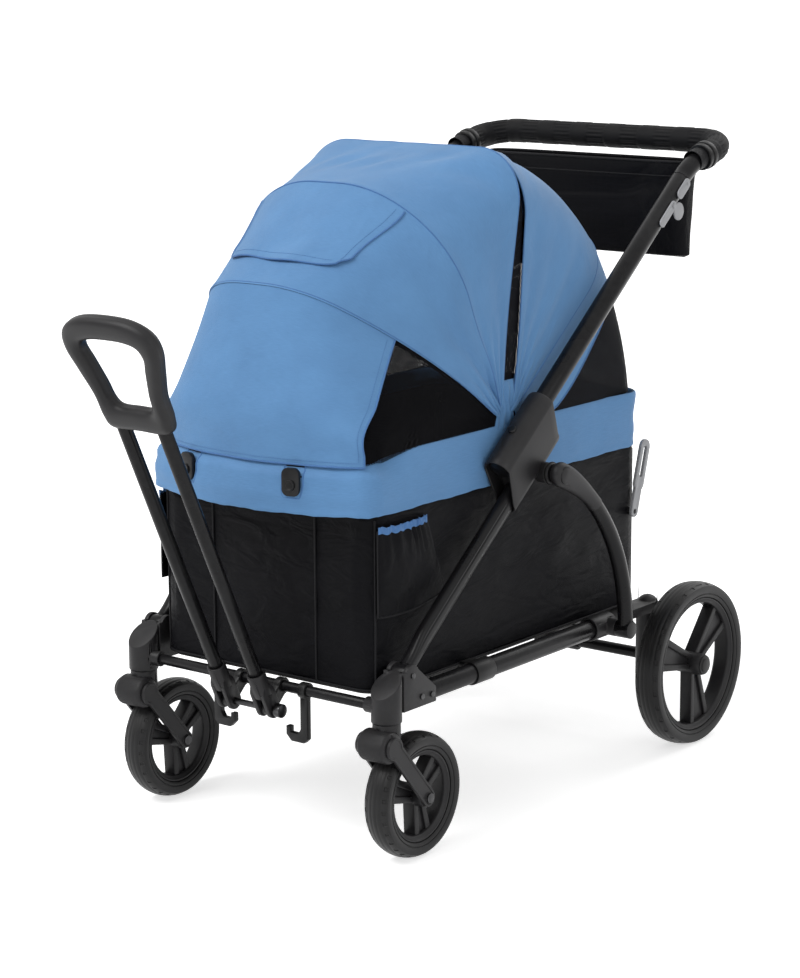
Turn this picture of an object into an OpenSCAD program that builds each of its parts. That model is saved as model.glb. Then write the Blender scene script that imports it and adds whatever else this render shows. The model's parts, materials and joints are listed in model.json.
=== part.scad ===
// Folding stroller wagon: fabric basket on a wheeled frame, with a push handle,
// a pull handle, swivelling front wheels and two canopies that fold to the middle.
// The front faces -Y, +X is the wagon's left hand seen from the front, the ground is Z = 0.

/* [Wheels] */
// Distance between the front and rear axles
wheelbase = 770; // [740:5:820]
// Radius of a front tyre
front_r = 100; // [95:1:103]
// Width of a front tyre
front_tyre_w = 47; // [40:1:49]
// Radius of a rear tyre
rear_r = 145; // [138:1:150]
// Width of a rear tyre
rear_tyre_w = 48; // [42:1:50]
// Height of a tyre's wall from its bead to its tread
tyre_h = 26; // [22:1:30]
// Distance from the middle of the wagon to a front wheel
caster_x = 253; // [250:1:262]
// Distance from the middle of the wagon to a rear wheel
rear_x = 280; // [278:1:292]
// Radius of a front wheel's axle
front_axle_r = 5; // [4:0.5:6]
// Radius of the spindle that a rear wheel turns on
spindle_r = 6; // [5:0.5:8]
// Radius of the rear axle tube
rear_axle_r = 10; // [9:0.5:11]

/* [Casters] */
// How far the front axle trails behind the swivel
trail = 65; // [62:1:70]
// Height of the seam where a caster swivels
swivel_z = 233; // [231:1:238]
// How far the swing arm's pivot lies ahead of the swivel
arm_lead = 19; // [17:1:22]
// Height of the swing arm's pivot
arm_pivot_z = 199; // [197:1:202]
// Radius of the sprung barrel across the top of a caster
barrel_r = 25; // [22:1:26]
// Thickness of a swing arm's plate
arm_t = 6; // [5:0.5:8]
// Radius of the swivel's stem
stem_r = 8; // [6:0.5:10]
// Radius of the stem's housing
housing_r = 24; // [22:1:26]

/* [Frame] */
// Radius of a side rail
rail_r = 16; // [14:1:17]
// Height of the side rails
rail_z = 260; // [258:1:264]
// Radius of the front cross tube
cross_r = 8.5; // [7:0.5:9]
// Radius of a slanting front leg
leg_r = 11; // [9:0.5:11.5]
// Slope of the front legs above level
leg_angle = 38.5; // [38:0.5:40]
// Distance of the leg's pivot ahead of the front axle
leg_lead = 25; // [23:1:28]
// Height of the leg's pivot
leg_pivot_z = 300; // [298:1:304]
// Length of a front leg from its pivot
leg_len = 505; // [495:1:507]
// Radius of a push tube
push_r = 16; // [14:1:16.5]
// Distance from a leg's axis to the push tube above it
push_offset = 59; // [57:1:64]
// Distance from the leg's pivot to the lower end of a push tube
push_start = 372; // [368:1:380]
// Distance from the leg's pivot to the push tube's bend
push_bend_at = 1046; // [1040:1:1060]
// Radius of the push tube's bend
push_bend_r = 180; // [150:5:220]
// How much the push tube bends back
push_bend = 26.5; // [20:0.5:30]
// Radius of the corner at each end of the push bar
push_corner_r = 60; // [50:1:70]
// Radius of the push bar's foam grip
push_grip_r = 22; // [19:0.5:23]
// Radius of an arched rear leg
arch_r = 13; // [11:0.5:13.5]
// Bend radius of an arched rear leg
arch_bend_r = 325; // [320:1:330]
// How far an arched rear leg turns
arch_sweep = 67; // [66:0.5:68]
// Distance of the arched leg's lower pivot behind the front axle
arch_foot_y = 529.5; // [526:0.5:532]

/* [Sleeves] */
// Outer radius of a sleeve round the push tube
sleeve_r = 25; // [23:0.5:25]
// Outer radius of a sleeve round the leg
sleeve_leg_r = 17; // [15:0.5:18]
// Distance from the leg's pivot to a sleeve's lower end
sleeve_start = 353; // [350:1:356]
// Distance from the leg's pivot to a sleeve's upper end
sleeve_end = 522; // [515:1:530]
// Radius of a sleeve's release button
sleeve_button_r = 7; // [5:0.5:9]

/* [Pull handle] */
// Distance of the pull handle's pivot ahead of the front axle
pull_lead = 95; // [92:1:100]
// Height of the pull handle's pivot
pull_pivot_z = 224; // [221:1:227]
// How far the pull handle leans forward from upright
pull_lean = 25.2; // [22:0.2:30]
// Distance from the middle of the wagon to a pull tube
pull_x = 41; // [38:1:46]
// Radius of a pull tube
pull_r = 11; // [9:0.5:12]
// Distance from the pivot to the foot of the grip
grip_start = 522; // [505:1:540]
// Height of the grip's loop
grip_h = 202; // [195:1:220]
// Thickness of the grip
grip_t = 34; // [28:1:40]
// Radius of the pivot pin
pull_pin_r = 5; // [4:0.5:6]

/* [Basket] */
// Distance from the middle to a side tube of the rim
rim_x = 212; // [208:1:212]
// Radius of the rim's tube
rim_r = 9; // [7:0.5:9]
// Height of the rim's tube
rim_z = 600; // [592:1:604]
// Corner radius of the rim
rim_corner_r = 30; // [24:1:36]
// How far behind the front axle the rim's rear tube lies
rim_rear_y = 676; // [674:1:682]
// How far ahead of the front axle the rim's front corners start
rim_front_lead = 35; // [30:1:38]
// Angle of the bowed front bar at its ends
rim_bow = 24.8; // [18:0.2:28]
// Thickness of the band of fabric round the rim
band_t = 4.5; // [3:0.5:4.5]
// Height of the band round the rim
band_h = 92; // [84:1:96]
// Half the width of the basket
basket_x = 222; // [216:1:224]
// Thickness of the basket's walls
basket_t = 4; // [2.5:0.5:5]
// Thickness of the floor board
floor_t = 9; // [6:1:10]
// Thickness of a seat pad
pad_t = 24; // [18:1:30]
// How far a side pocket stands out
pocket_d = 17; // [12:1:17]

/* [Canopies] */
// Distance of the canopy's pivot behind the front axle
canopy_pivot_y = 285; // [280:1:290]
// Radius of a bow's rod
bow_r = 3.3; // [2.5:0.1:3.3]
// Reach of the fixed front middle bow
bow_mid_reach = 430; // [420:1:445]
// Reach of the fixed rear middle bow
bow_back_reach = 432; // [428:1:440]
// Reach of the front canopy's second bow
bow_two_reach = 417; // [410:1:430]
// Reach of the front canopy's leading bow
bow_three_reach = 424; // [416:1:432]
// Reach of the rear canopy's bow
bow_rear_reach = 448; // [440:1:456]
// Thickness of the canopy cloth
canopy_t = 2.5; // [1.5:0.5:3]

/* [Hidden] */
$fn = 48;
// Running clearance on pins and shafts, and the gap between soft or moving faces
fit = 0.05;
gap = 0.3;
seam = 0.6;
// A straight tube laps this far over a bend, whose own tube is slimmer by the tuck
lap = 1;
tuck = 0.2;

// Key heights and places, all from the sizes above
push_tilt = leg_angle - push_bend;
push_straight = 28;
push_bar_reach = push_corner_r + push_straight;
bend_end = [push_bend_at + push_bend_r * sin(push_bend),
            push_offset - push_bend_r * (1 - cos(push_bend))];
bar_local = bend_end + push_bar_reach * [cos(push_bend), -sin(push_bend)];
bar_y = -leg_lead + bar_local[0] * cos(leg_angle) - bar_local[1] * sin(leg_angle);
grip_end = grip_start + grip_h;
front_reach = pull_lead + grip_end * sin(pull_lean) + grip_t / 2 * cos(pull_lean);
rear_reach = max(wheelbase + rear_r, bar_y + push_grip_r);
// The origin is midway along the wagon, so the front axle lies this far from it
fy = (front_reach - rear_reach) / 2;

arm_pivot_y = -trail - arm_lead;
arm_in = front_tyre_w / 2 + 3.8;
arm_out = arm_in + arm_t;
arm_pin_r = 6;
stem_top = swivel_z + 45;
cross_y = -trail + 2;
cross_z = rail_z - 6;
floor_z = cross_z + cross_r + gap;
floor_top = floor_z + floor_t;
sleeve_x = caster_x + sleeve_r;
pivot_face = sleeve_x + 8;
arch_x = pivot_face + gap + arch_r + 1;
arch_centre_y = arch_foot_y - arch_bend_r;
hub_y = arch_centre_y + arch_bend_r * cos(arch_sweep);
hub_z = rail_z + arch_bend_r * sin(arch_sweep);
hub_s = (hub_y + leg_lead) * cos(leg_angle) + (hub_z - leg_pivot_z) * sin(leg_angle);
hub_h = -(hub_y + leg_lead) * sin(leg_angle) + (hub_z - leg_pivot_z) * cos(leg_angle);
knuckle_r = 15;
boss_r = 17;
pin_r = 6;

bracket_x = caster_x - 27;
bracket_w = 40;
strut_y = rim_rear_y + 39;
post_x = rim_x - 26;
post_y = rim_rear_y - rim_r - 9;
post_w = 7.4;
post_foot_z = rail_z + 36;
post_knee_z = 432;
post_pin_r = 4;
post_top = rim_z - 12;
lever_t = 6;

rim_corner_x = rim_x - rim_corner_r;
rim_corner_y = -rim_front_lead;
bow_end_x = rim_corner_x + rim_corner_r * sin(rim_bow);
rim_bow_r = bow_end_x / sin(rim_bow);
rim_bow_y = rim_corner_y + (rim_bow_r - rim_corner_r) * cos(rim_bow);
band_in = rim_r + 0.5;
band_out = band_in + band_t;
lever_x = rim_x + band_out + 2;
band_top = rim_z + 39.4;
band_bottom = band_top - band_h;
basket_front = -52;
basket_rear = rim_rear_y + band_out;
basket_corner_r = 36;
basket_top = band_bottom - seam;

canopy_pivot_z = band_top + seam;
bow_step = 2 * bow_r + gap;
bow_back_x = rim_x - 28 + bow_r;
bow_mid_x = bow_back_x + bow_step;
bow_rear_x = bow_mid_x + bow_step;
bow_two_x = bow_rear_x + bow_step;
bow_three_x = bow_two_x + bow_step;
bow_pin_r = 4;
bow_eye_r = 8;
bow_mid_angle = 5.2;
bow_back_angle = 10.6;
bow_two_angle = -23.8;
bow_three_angle = -55;
bow_rear_angle = 52;
// Clear space between a bow and the cloth over it
cloth_gap = 1.2;
cloth_foot = 25;
cloth_x = bow_three_x + bow_r + cloth_gap;
front_edge_reach = canopy_pivot_y - (rim_bow_y - rim_bow_r) + band_out;
rear_edge_reach = rim_rear_y + band_out - canopy_pivot_y;

black = [0.07, 0.07, 0.075];
dark = [0.13, 0.13, 0.14];
grey = [0.6, 0.61, 0.63];
blue = [0.2, 0.4, 0.68];
cloth_black = [0.05, 0.05, 0.06];

// Shared shapes

// Draws the children on the +X side, or mirrored on the -X side
module on_side(s) mirror([s < 0 ? 1 : 0, 0, 0]) children();

module both_sides() for (s = [1, -1]) on_side(s) children();

// Cylinders between two stations along X or Y, centred on the current Y, Z or X, Z
module along_x(x0, x1, r) translate([x0, 0, 0]) rotate([0, 90, 0]) cylinder(h = x1 - x0, r = r);

module along_y(y0, y1, r) translate([0, y0, 0]) rotate([-90, 0, 0]) cylinder(h = y1 - y0, r = r);

// A side view drawn in (Y, Z), from one X to another
module slab_x(x0, x1) translate([x0, 0, 0]) rotate([90, 0, 90]) linear_extrude(x1 - x0) children();

// A front view drawn in (X, Z), from one Y to another
module slab_y(y0, y1) translate([0, y1, 0]) rotate([90, 0, 0]) linear_extrude(y1 - y0) children();

// A bent tube that starts upwards and curves towards +Y
module bend(turn_r, r, angle) translate([0, turn_r, 0]) rotate([90, 0, -90])
    rotate_extrude(angle = angle) translate([turn_r, 0]) circle(r - tuck);

// A straight bar with round ends between two points of a flat drawing
module link_2d(p, q, r) {
    translate(p) circle(r);
    translate(q) circle(r);
    d = q - p;
    translate(p) rotate(atan2(d[1], d[0])) translate([0, -r]) square([norm(d), 2 * r]);
}

module rounded_2d(half_x, y0, y1, r) {
    translate([-half_x, y0 + r]) square([2 * half_x, y1 - y0 - 2 * r]);
    translate([-half_x + r, y0]) square([2 * half_x - 2 * r, y1 - y0]);
    for (x = [-half_x + r, half_x - r], y = [y0 + r, y1 - r]) translate([x, y]) circle(r);
}

// Places the children in a leg's own frame: X as before, Z up the leg from its pivot
module leg_frame() translate([0, fy - leg_lead, leg_pivot_z]) rotate([leg_angle - 90, 0, 0]) children();

// The same, at the point where the push tube has finished its bend
module handle_frame() leg_frame() translate([0, -bend_end[1], bend_end[0]])
    rotate([-push_bend, 0, 0]) children();

// The pull handle's own frame, Z up the handle from its pivot
module pull_frame() translate([0, fy - pull_lead, pull_pivot_z]) rotate([pull_lean, 0, 0]) children();

// Wheels

module tyre(r, w) color(black) rotate([0, 90, 0]) rotate_extrude() intersection() {
    translate([r * 0.6, 0]) circle(r * 0.4);
    translate([r - tyre_h, -w / 2]) square([tyre_h + 1, w]);
}

// Ring, hub and three pairs of ribs
module rim(r, w, hub_r, hub_0, hub_1, bore_r) color(dark) {
    rib_w = hub_r * 0.45;
    rib_spread = 14;
    rib_turn = -50;
    ring_in = r - 10;
    difference() {
        union() {
            rotate([0, 90, 0]) rotate_extrude() translate([ring_in, -w / 2]) square([r - ring_in, w]);
            along_x(hub_0, hub_1, hub_r);
            for (k = [0:2], side = [-1, 1])
                rotate([k * 120 + rib_turn + side * rib_spread, 0, 0])
                    translate([-w * 0.3, -rib_w / 2, hub_r * 0.6])
                        cube([w * 0.6, rib_w, ring_in + 2 - hub_r * 0.6]);
        }
        along_x(hub_0 - 1, hub_1 + 1, bore_r);
    }
}

module at_front_wheel(s) on_side(s) translate([caster_x, fy, front_r]) children();

module at_rear_wheel(s) on_side(s) translate([rear_x, fy + wheelbase, rear_r]) children();

module front_tyre(s) at_front_wheel(s) tyre(front_r, front_tyre_w);

module front_rim(s) at_front_wheel(s)
    rim(front_r - tyre_h, front_tyre_w - 12, 17, -arm_in + gap, arm_in - gap, front_axle_r + fit);

module front_axle(s) color(grey) at_front_wheel(s) {
    along_x(-arm_out - 3, arm_out + 3, front_axle_r);
    along_x(arm_out, arm_out + 3, front_axle_r + 3);
    along_x(-arm_out - 3, -arm_out, front_axle_r + 3);
}

rear_hub_in = bracket_x + bracket_w / 2 + 2 - rear_x;
rear_hub_out = 30;

module rear_tyre(s) at_rear_wheel(s) tyre(rear_r, rear_tyre_w);

module rear_rim(s) at_rear_wheel(s)
    rim(rear_r - tyre_h, rear_tyre_w - 12, 20, rear_hub_in, rear_hub_out, spindle_r + fit);

module rear_hub_cap(s) color(black) at_rear_wheel(s) {
    along_x(rear_hub_out, rear_hub_out + 3, 17);
    along_x(rear_hub_out + 3, rear_hub_out + 6, 13);
}

// Casters

module at_arm_pivot(s) on_side(s) translate([caster_x, fy + arm_pivot_y, arm_pivot_z]) children();

// Neck and stem that swivel in the housing, over the sprung barrel
module caster_crown(s) color(dark) {
    difference() {
        union() {
            on_side(s) translate([caster_x, fy - trail, arm_pivot_z])
                cylinder(h = swivel_z - gap - arm_pivot_z, r = housing_r - 2);
            at_arm_pivot(s) along_x(-arm_in + gap, arm_in - gap, barrel_r);
        }
        at_arm_pivot(s) along_x(-arm_in, arm_in, arm_pin_r + fit);
    }
    on_side(s) translate([caster_x, fy - trail, swivel_z - gap])
        cylinder(h = stem_top - swivel_z - 2, r = stem_r);
}

// Two plates joined by the pin through the barrel
module swing_arm(s) color(dark) {
    difference() {
        for (x = [-arm_out, arm_in]) on_side(s) translate([caster_x, fy, 0]) slab_x(x, x + arm_t) {
            link_2d([arm_pivot_y, arm_pivot_z], [0, front_r], 14);
            translate([arm_pivot_y, arm_pivot_z]) circle(18);
        }
        at_front_wheel(s) along_x(-arm_out - 1, arm_out + 1, front_axle_r + fit);
    }
    at_arm_pivot(s) along_x(-arm_in - 1, arm_in + 1, arm_pin_r);
}

// Stem housing with a sloping cap, ears for the leg, a clamp for the rail and a socket for the cross tube
module front_bracket(s) color(dark) on_side(s) translate([caster_x, fy, 0]) {
    ear_in = leg_r + 1.3;
    ear_out = ear_in + 8;
    clamp_r = rail_r + 4;
    rail_end = 35;
    difference() {
        union() {
            intersection() {
                translate([0, -trail, swivel_z]) cylinder(h = 100, r = housing_r);
                slab_x(-housing_r, housing_r)
                    polygon([[-trail - housing_r, swivel_z], [-trail + housing_r, swivel_z],
                             [-trail + housing_r, leg_pivot_z + 10], [-trail - housing_r, swivel_z + 40]]);
            }
            for (x = [-ear_out, ear_in]) slab_x(x, x + 8) {
                translate([-leg_lead, leg_pivot_z]) circle(17);
                polygon([[-trail + housing_r - 6, rail_z - 14], [rail_end, rail_z - 14],
                         [rail_end, rail_z + 10], [-leg_lead + 15, leg_pivot_z + 8],
                         [-trail + housing_r - 6, leg_pivot_z + 8]]);
            }
            slab_x(-ear_in - 1, ear_in + 1)
                polygon([[-trail + 10, rail_z - 14], [-15, rail_z - 14],
                         [-15, rail_z + 18], [-trail + 10, rail_z + 22]]);
            translate([0, 0, rail_z]) along_y(-trail + housing_r - 4, rail_end, clamp_r);
            translate([0, cross_y, cross_z]) along_x(-housing_r - 15, -housing_r + 8, cross_r + 4);
        }
        translate([0, -trail, swivel_z - 1]) cylinder(h = stem_top - swivel_z + 1, r = stem_r + fit);
        translate([0, 0, rail_z]) along_y(-rail_r - 21, rail_end + 1, rail_r + fit);
        translate([0, cross_y, cross_z]) along_x(-housing_r - 16, -housing_r - 2, cross_r + fit);
    }
    translate([0, -leg_lead, leg_pivot_z]) along_x(-ear_in - 1, ear_in + 1, front_axle_r);
}

// Chassis

module side_rail(s) color(black) on_side(s) translate([caster_x, fy, rail_z])
    along_y(-rail_r - 20, arch_foot_y + 11, rail_r);

module front_cross_tube() color(black) translate([0, fy + cross_y, cross_z])
    along_x(-caster_x + housing_r + 3, caster_x - housing_r - 3, cross_r);

// Clips that hold the basket's hem to the rails
collar_y = 150;
collar_len = 48;
module rail_collars() color(black) both_sides() translate([caster_x, fy, rail_z]) difference() {
    union() {
        along_y(collar_y, collar_y + collar_len, rail_r + 3);
        translate([-rail_r - 12, collar_y + 10, 4]) cube([14, collar_len - 20, 10]);
    }
    along_y(collar_y - 1, collar_y + collar_len + 1, rail_r + fit);
}

module rear_axle() color(black) translate([0, fy + wheelbase, rear_r]) {
    half = bracket_x + bracket_w / 2;
    along_x(-half, half, rear_axle_r);
    both_sides() along_x(half - 1, rear_x + rear_hub_out - 1, spindle_r);
}

// Casting that joins a rail's end, the arched leg's foot, the axle and the folding post's foot
module rear_bracket(s) color(dark) on_side(s) translate([0, fy, 0]) {
    in_x = bracket_x - bracket_w / 2;
    out_x = bracket_x + bracket_w / 2;
    arm_z = rail_z - 14;
    top_z = floor_z - gap;
    strut_r = bracket_w / 2;
    foot_x = post_x - post_w - gap;
    difference() {
        union() {
            translate([caster_x, 0, rail_z]) along_y(arch_foot_y - 42, arch_foot_y + 18, rail_r + 4);
            translate([0, arch_foot_y, rail_z]) along_x(caster_x, pivot_face, knuckle_r);
            translate([0, 0, arm_z]) linear_extrude(top_z - arm_z)
                polygon([[caster_x - rail_r, arch_foot_y], [caster_x + rail_r + 2, arch_foot_y],
                         [caster_x + rail_r, arch_foot_y + 30], [out_x, arch_foot_y + 82],
                         [out_x, strut_y], [in_x, strut_y], [in_x, arch_foot_y + 70]]);
            translate([bracket_x, strut_y, rear_r - 17]) cylinder(h = top_z - rear_r + 7, r = strut_r);
            translate([bracket_x, strut_y, top_z - 10]) sphere(r = strut_r);
            slab_x(bracket_x - 10, bracket_x + 10)
                polygon([[strut_y, rear_r - 17], [wheelbase, rear_r - 17],
                         [wheelbase, rear_r + 17], [strut_y, rear_r + 70]]);
            translate([0, wheelbase, rear_r]) along_x(in_x, out_x, rear_axle_r + 8);
            translate([foot_x - 8, post_y - 14, arm_z]) cube([bracket_x - foot_x, 26, top_z - arm_z]);
            slab_x(foot_x - 8, foot_x) link_2d([post_y, arm_z + 12], [post_y, post_foot_z], 10);
        }
        translate([caster_x, 0, rail_z]) along_y(arch_foot_y - 43, arch_foot_y + 11.5, rail_r + fit);
        translate([0, wheelbase, rear_r]) along_x(in_x - 1, out_x + 1, rear_axle_r + fit);
    }
    translate([0, arch_foot_y, rail_z]) along_x(pivot_face - 4, arch_x + arch_r - 4, pin_r);
    translate([0, post_y, post_foot_z]) along_x(foot_x - 4, foot_x + gap + post_w, post_pin_r);
}

module brake_pedal() color(dark) translate([0, fy + wheelbase, rear_r]) difference() {
    union() {
        along_x(-45, 45, rear_axle_r + 6);
        slab_x(-30, 30) polygon([[0, -4], [62, 8], [62, 14], [0, 8]]);
        translate([-60, 50, 6]) cube([120, 26, 9]);
    }
    along_x(-61, 61, rear_axle_r + fit);
}

// Heads of the bolts at the leg pivots and along the rail clamps
module chassis_bolts() color(grey) both_sides() translate([caster_x, fy, 0]) {
    face = leg_r + 9.3;
    head_r = 4.5;
    for (p = [[-leg_lead, leg_pivot_z], [-2, rail_z + 2], [24, rail_z]])
        translate([0, p[0], p[1]]) along_x(face, face + 2.5, head_r);
}

// Basket

module floor_board() color(dark) translate([0, fy, floor_z]) linear_extrude(floor_t)
    rounded_2d(basket_x - basket_t - seam, basket_front + basket_t + seam, post_y - 18, basket_corner_r);

module basket_outline(inset) rounded_2d(basket_x - inset, basket_front + inset, basket_rear - inset,
                                        basket_corner_r - inset);

// Walls and floor of cloth, open at the top, with corner notches for the posts and holes for their knee pins
module basket_fabric() color(cloth_black) translate([0, fy, 0]) difference() {
    cloth_floor = floor_top + gap;
    union() {
        translate([0, 0, floor_z]) linear_extrude(basket_top - floor_z) difference() {
            basket_outline(0);
            basket_outline(basket_t);
        }
        translate([0, 0, cloth_floor]) linear_extrude(3) basket_outline(basket_t / 2);
    }
    both_sides() translate([post_x - post_w - 12, post_y - 16, cloth_floor - 1])
        cube([basket_x - post_x + post_w, basket_rear - post_y + 16 - basket_t, 6]);
    both_sides() translate([0, post_y, post_knee_z])
        along_x(basket_x - basket_corner_r, basket_x + 1, post_pin_r + 6);
}

// Flat bags with open tops, one on each side wall
module side_pockets() color(cloth_black) both_sides() translate([basket_x + gap, fy, 0]) {
    wall = 3;
    y0 = -10;
    y1 = 108;
    z0 = 392;
    z1 = 528;
    difference() {
        slab_x(0, pocket_d) polygon([[y0, z0 + 6], [y0 + 10, z0], [y1 - 20, z0 + 8], [y1, z0 + 20],
                                     [y1 - 8, z1], [y0, z1]]);
        slab_x(wall, pocket_d - wall)
            polygon([[y0 + wall, z0 + 12], [y1 - 18, z0 + 16], [y1 - wall - 2, z0 + 26],
                     [y1 - 12, z1 + 1], [y0 + wall, z1 + 1]]);
    }
}

// Front and rear pads, with a foot well between them
pad_inset = 30;
pad_corner_r = 40;
well_y = 240;
well_len = 140;
module seat_pads() color(cloth_black) translate([0, fy, floor_top + gap + 3 + gap]) {
    half = basket_x - pad_inset;
    linear_extrude(pad_t) rounded_2d(half, basket_front + pad_inset, well_y, pad_corner_r);
    linear_extrude(pad_t) rounded_2d(half, well_y + well_len, post_y - 20, pad_corner_r);
}

// The plan of the rim, grown or shrunk by d: rounded corners and a bowed front
module rim_outline(d) {
    r = rim_corner_r + d;
    rear_y = rim_rear_y - rim_corner_r;
    translate([-rim_x - d, rim_corner_y]) square([2 * (rim_x + d), rear_y - rim_corner_y]);
    translate([-rim_corner_x, rear_y - 1]) square([2 * rim_corner_x, r + 1]);
    for (x = [-rim_corner_x, rim_corner_x], y = [rim_corner_y, rear_y]) translate([x, y]) circle(r);
    half = rim_corner_x + r * sin(rim_bow);
    intersection() {
        translate([0, rim_bow_y]) circle(rim_bow_r + d, $fn = 160);
        translate([-half, rim_bow_y - rim_bow_r - d - 1])
            square([2 * half, rim_corner_y - rim_bow_y + rim_bow_r + d + 1]);
    }
}

// The rim's tube, with the canopy's pivot pins on each side and lugs beside the posts' upper ends
module rim_frame() color(black) translate([0, fy, 0]) {
    translate([0, 0, rim_z]) {
        both_sides() {
            translate([rim_x, 0, 0]) along_y(rim_corner_y - lap, rim_rear_y - rim_corner_r + lap, rim_r);
            translate([rim_corner_x, rim_rear_y - rim_corner_r, 0])
                rotate_extrude(angle = 90) translate([rim_corner_r, 0]) circle(rim_r - tuck);
            translate([rim_corner_x, rim_corner_y, 0]) rotate([0, 0, rim_bow - 90])
                rotate_extrude(angle = 90 - rim_bow) translate([rim_corner_r, 0]) circle(rim_r - tuck);
        }
        translate([0, rim_rear_y, 0]) along_x(-rim_corner_x - lap, rim_corner_x + lap, rim_r);
        bow_lap = atan(lap / rim_bow_r);
        translate([0, rim_bow_y, 0]) rotate([0, 0, -90 - rim_bow - bow_lap])
            rotate_extrude(angle = 2 * (rim_bow + bow_lap))
                translate([rim_bow_r, 0]) circle(rim_r - 2 * tuck);
    }
    plate_x = bow_back_x - bow_r - gap;
    both_sides() {
        translate([plate_x - 3, canopy_pivot_y - 8, rim_z - 3]) cube([rim_x - plate_x, 16, 6]);
        slab_x(plate_x - 4, plate_x)
            link_2d([canopy_pivot_y, rim_z + 4], [canopy_pivot_y, canopy_pivot_z], 10);
        translate([0, canopy_pivot_y, canopy_pivot_z])
            along_x(plate_x - 2, bow_three_x + bow_r + gap, bow_pin_r);
        slab_x(post_x - post_w, post_x) link_2d([rim_rear_y, rim_z], [post_y, post_top], 7);
    }
}

module rim_band() color(blue) translate([0, fy, band_bottom]) linear_extrude(band_h) difference() {
    rim_outline(band_out);
    rim_outline(band_in);
}

// Snap tabs on the front of the band
module front_clips() color(black) translate([0, fy + rim_bow_y, 0]) {
    clip_x = 100;
    face = rim_bow_r + band_out + gap;
    both_sides() rotate([0, 0, asin(clip_x / face)]) translate([0, -face, rim_z - 10]) {
        translate([-14, -5, -21]) cube([28, 5, 42]);
        rotate([90, 0, 0]) cylinder(h = 9, r = 9);
    }
}

// Pull handle

// Clamps on the cross tube that carry the pull handle's pin, and a pair of stowing hooks
module pull_mount() color(black) translate([0, fy, 0]) both_sides() {
    hook_x = 90;
    difference() {
        union() {
            slab_x(pull_x - 6, pull_x + 6) {
                link_2d([cross_y, cross_z], [-pull_lead, pull_pivot_z], 11);
                translate([cross_y, cross_z]) circle(cross_r + 5);
            }
        }
        translate([0, cross_y, cross_z]) along_x(0, pull_x + 10, cross_r + fit);
        translate([0, -pull_lead, pull_pivot_z]) along_x(0, pull_x + 10, pull_pin_r + fit);
    }
    difference() {
        union() {
            translate([0, cross_y, cross_z]) along_x(hook_x - 7, hook_x + 7, cross_r + 4.5);
            slab_y(cross_y - 5, cross_y + 5) polygon([
                [hook_x - 7, cross_z], [hook_x - 7, 190], [hook_x - 12, 182], [62, 182], [62, 192],
                [54, 192], [54, 178], [64, 168], [hook_x, 168], [hook_x + 7, 175], [hook_x + 7, cross_z]]);
        }
        translate([0, cross_y, cross_z]) along_x(hook_x - 8, hook_x + 8, cross_r + fit);
    }
}

module pull_pin() color(grey) translate([0, fy - pull_lead, pull_pivot_z]) {
    along_x(-pull_x - 18, pull_x + 18, pull_pin_r);
    along_x(pull_x + 17, pull_x + 29, 11);
    along_x(-pull_x - 21, -pull_x - 17, 8);
}

// Forked feet of the pull tubes
module pull_yokes() color(dark) pull_frame() both_sides() translate([pull_x, 0, 0]) difference() {
    union() {
        for (x = [-14, 6 + gap]) slab_x(x, x + 14 - 6 - gap) link_2d([0, 0], [0, 34], 14);
        translate([0, 0, 28]) cylinder(h = 42, r = pull_r + 4);
    }
    along_x(-15, 15, pull_pin_r + fit);
    translate([0, 0, pull_tube_foot]) cylinder(h = 40, r = pull_r + fit);
    translate([-6 - gap, -20, -20]) cube([12 + 2 * gap, 40, 44]);
}

// The tubes run from their yokes into sockets in the grip
pull_tube_foot = 42;
grip_socket = 22;
module pull_tubes() color(black) pull_frame() both_sides() translate([pull_x, 0, pull_tube_foot])
    cylinder(h = grip_start + grip_socket - pull_tube_foot, r = pull_r);

// Closed loop that widens towards the hand bar
module pull_grip() color(dark) pull_frame() difference() {
    foot = grip_start;
    slab_y(-grip_t / 2, grip_t / 2) difference() {
        polygon([[-60, foot], [60, foot], [68, foot + 8], [68, foot + 58], [96, foot + 142],
                 [92, foot + 172], [70, foot + 190], [30, grip_end], [-30, grip_end], [-70, foot + 190],
                 [-92, foot + 172], [-96, foot + 142], [-68, foot + 58], [-68, foot + 8]]);
        polygon([[-34, foot + 46], [34, foot + 46], [44, foot + 62], [60, foot + 140], [48, foot + 158],
                 [-48, foot + 158], [-60, foot + 140], [-44, foot + 62]]);
    }
    both_sides() translate([pull_x, 0, foot - 1]) cylinder(h = grip_socket + 1.5, r = pull_r + fit);
}

// Fold frame

module front_legs() color(black) leg_frame() both_sides() translate([caster_x, 0, 0]) difference() {
    union() {
        along_x(-leg_r - 1, leg_r + 1, knuckle_r);
        translate([0, 0, 8]) cylinder(h = leg_len - 8, r = leg_r);
    }
    along_x(-leg_r - 2, leg_r + 2, front_axle_r + fit);
}

// Moulded sleeves that slide on the legs and hold the push tubes
module hub_sleeves() color(dark) leg_frame() both_sides() difference() {
    mouth = sleeve_start + 13;
    button_s = (mouth + sleeve_end) / 2 - 8;
    union() {
        translate([caster_x, 0, 0]) {
            translate([0, -push_offset, mouth]) cylinder(h = sleeve_end - mouth, r = sleeve_r);
            translate([0, 0, sleeve_start]) cylinder(h = sleeve_end - 14 - sleeve_start, r = sleeve_leg_r);
            translate([-sleeve_leg_r + 2, -push_offset, mouth])
                cube([2 * sleeve_leg_r - 4, push_offset, sleeve_end - 14 - mouth]);
        }
        translate([0, -hub_h, hub_s]) along_x(caster_x + leg_r + 2, pivot_face, boss_r);
    }
    translate([caster_x, -push_offset, sleeve_start - 1]) cylinder(h = 200, r = push_r + fit);
    translate([caster_x, 0, sleeve_start - 1]) cylinder(h = 200, r = leg_r + fit);
    translate([caster_x, -push_offset, button_s]) rotate([90, 0, 0])
        cylinder(h = sleeve_r + 2, r = sleeve_button_r + gap);
}

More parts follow.
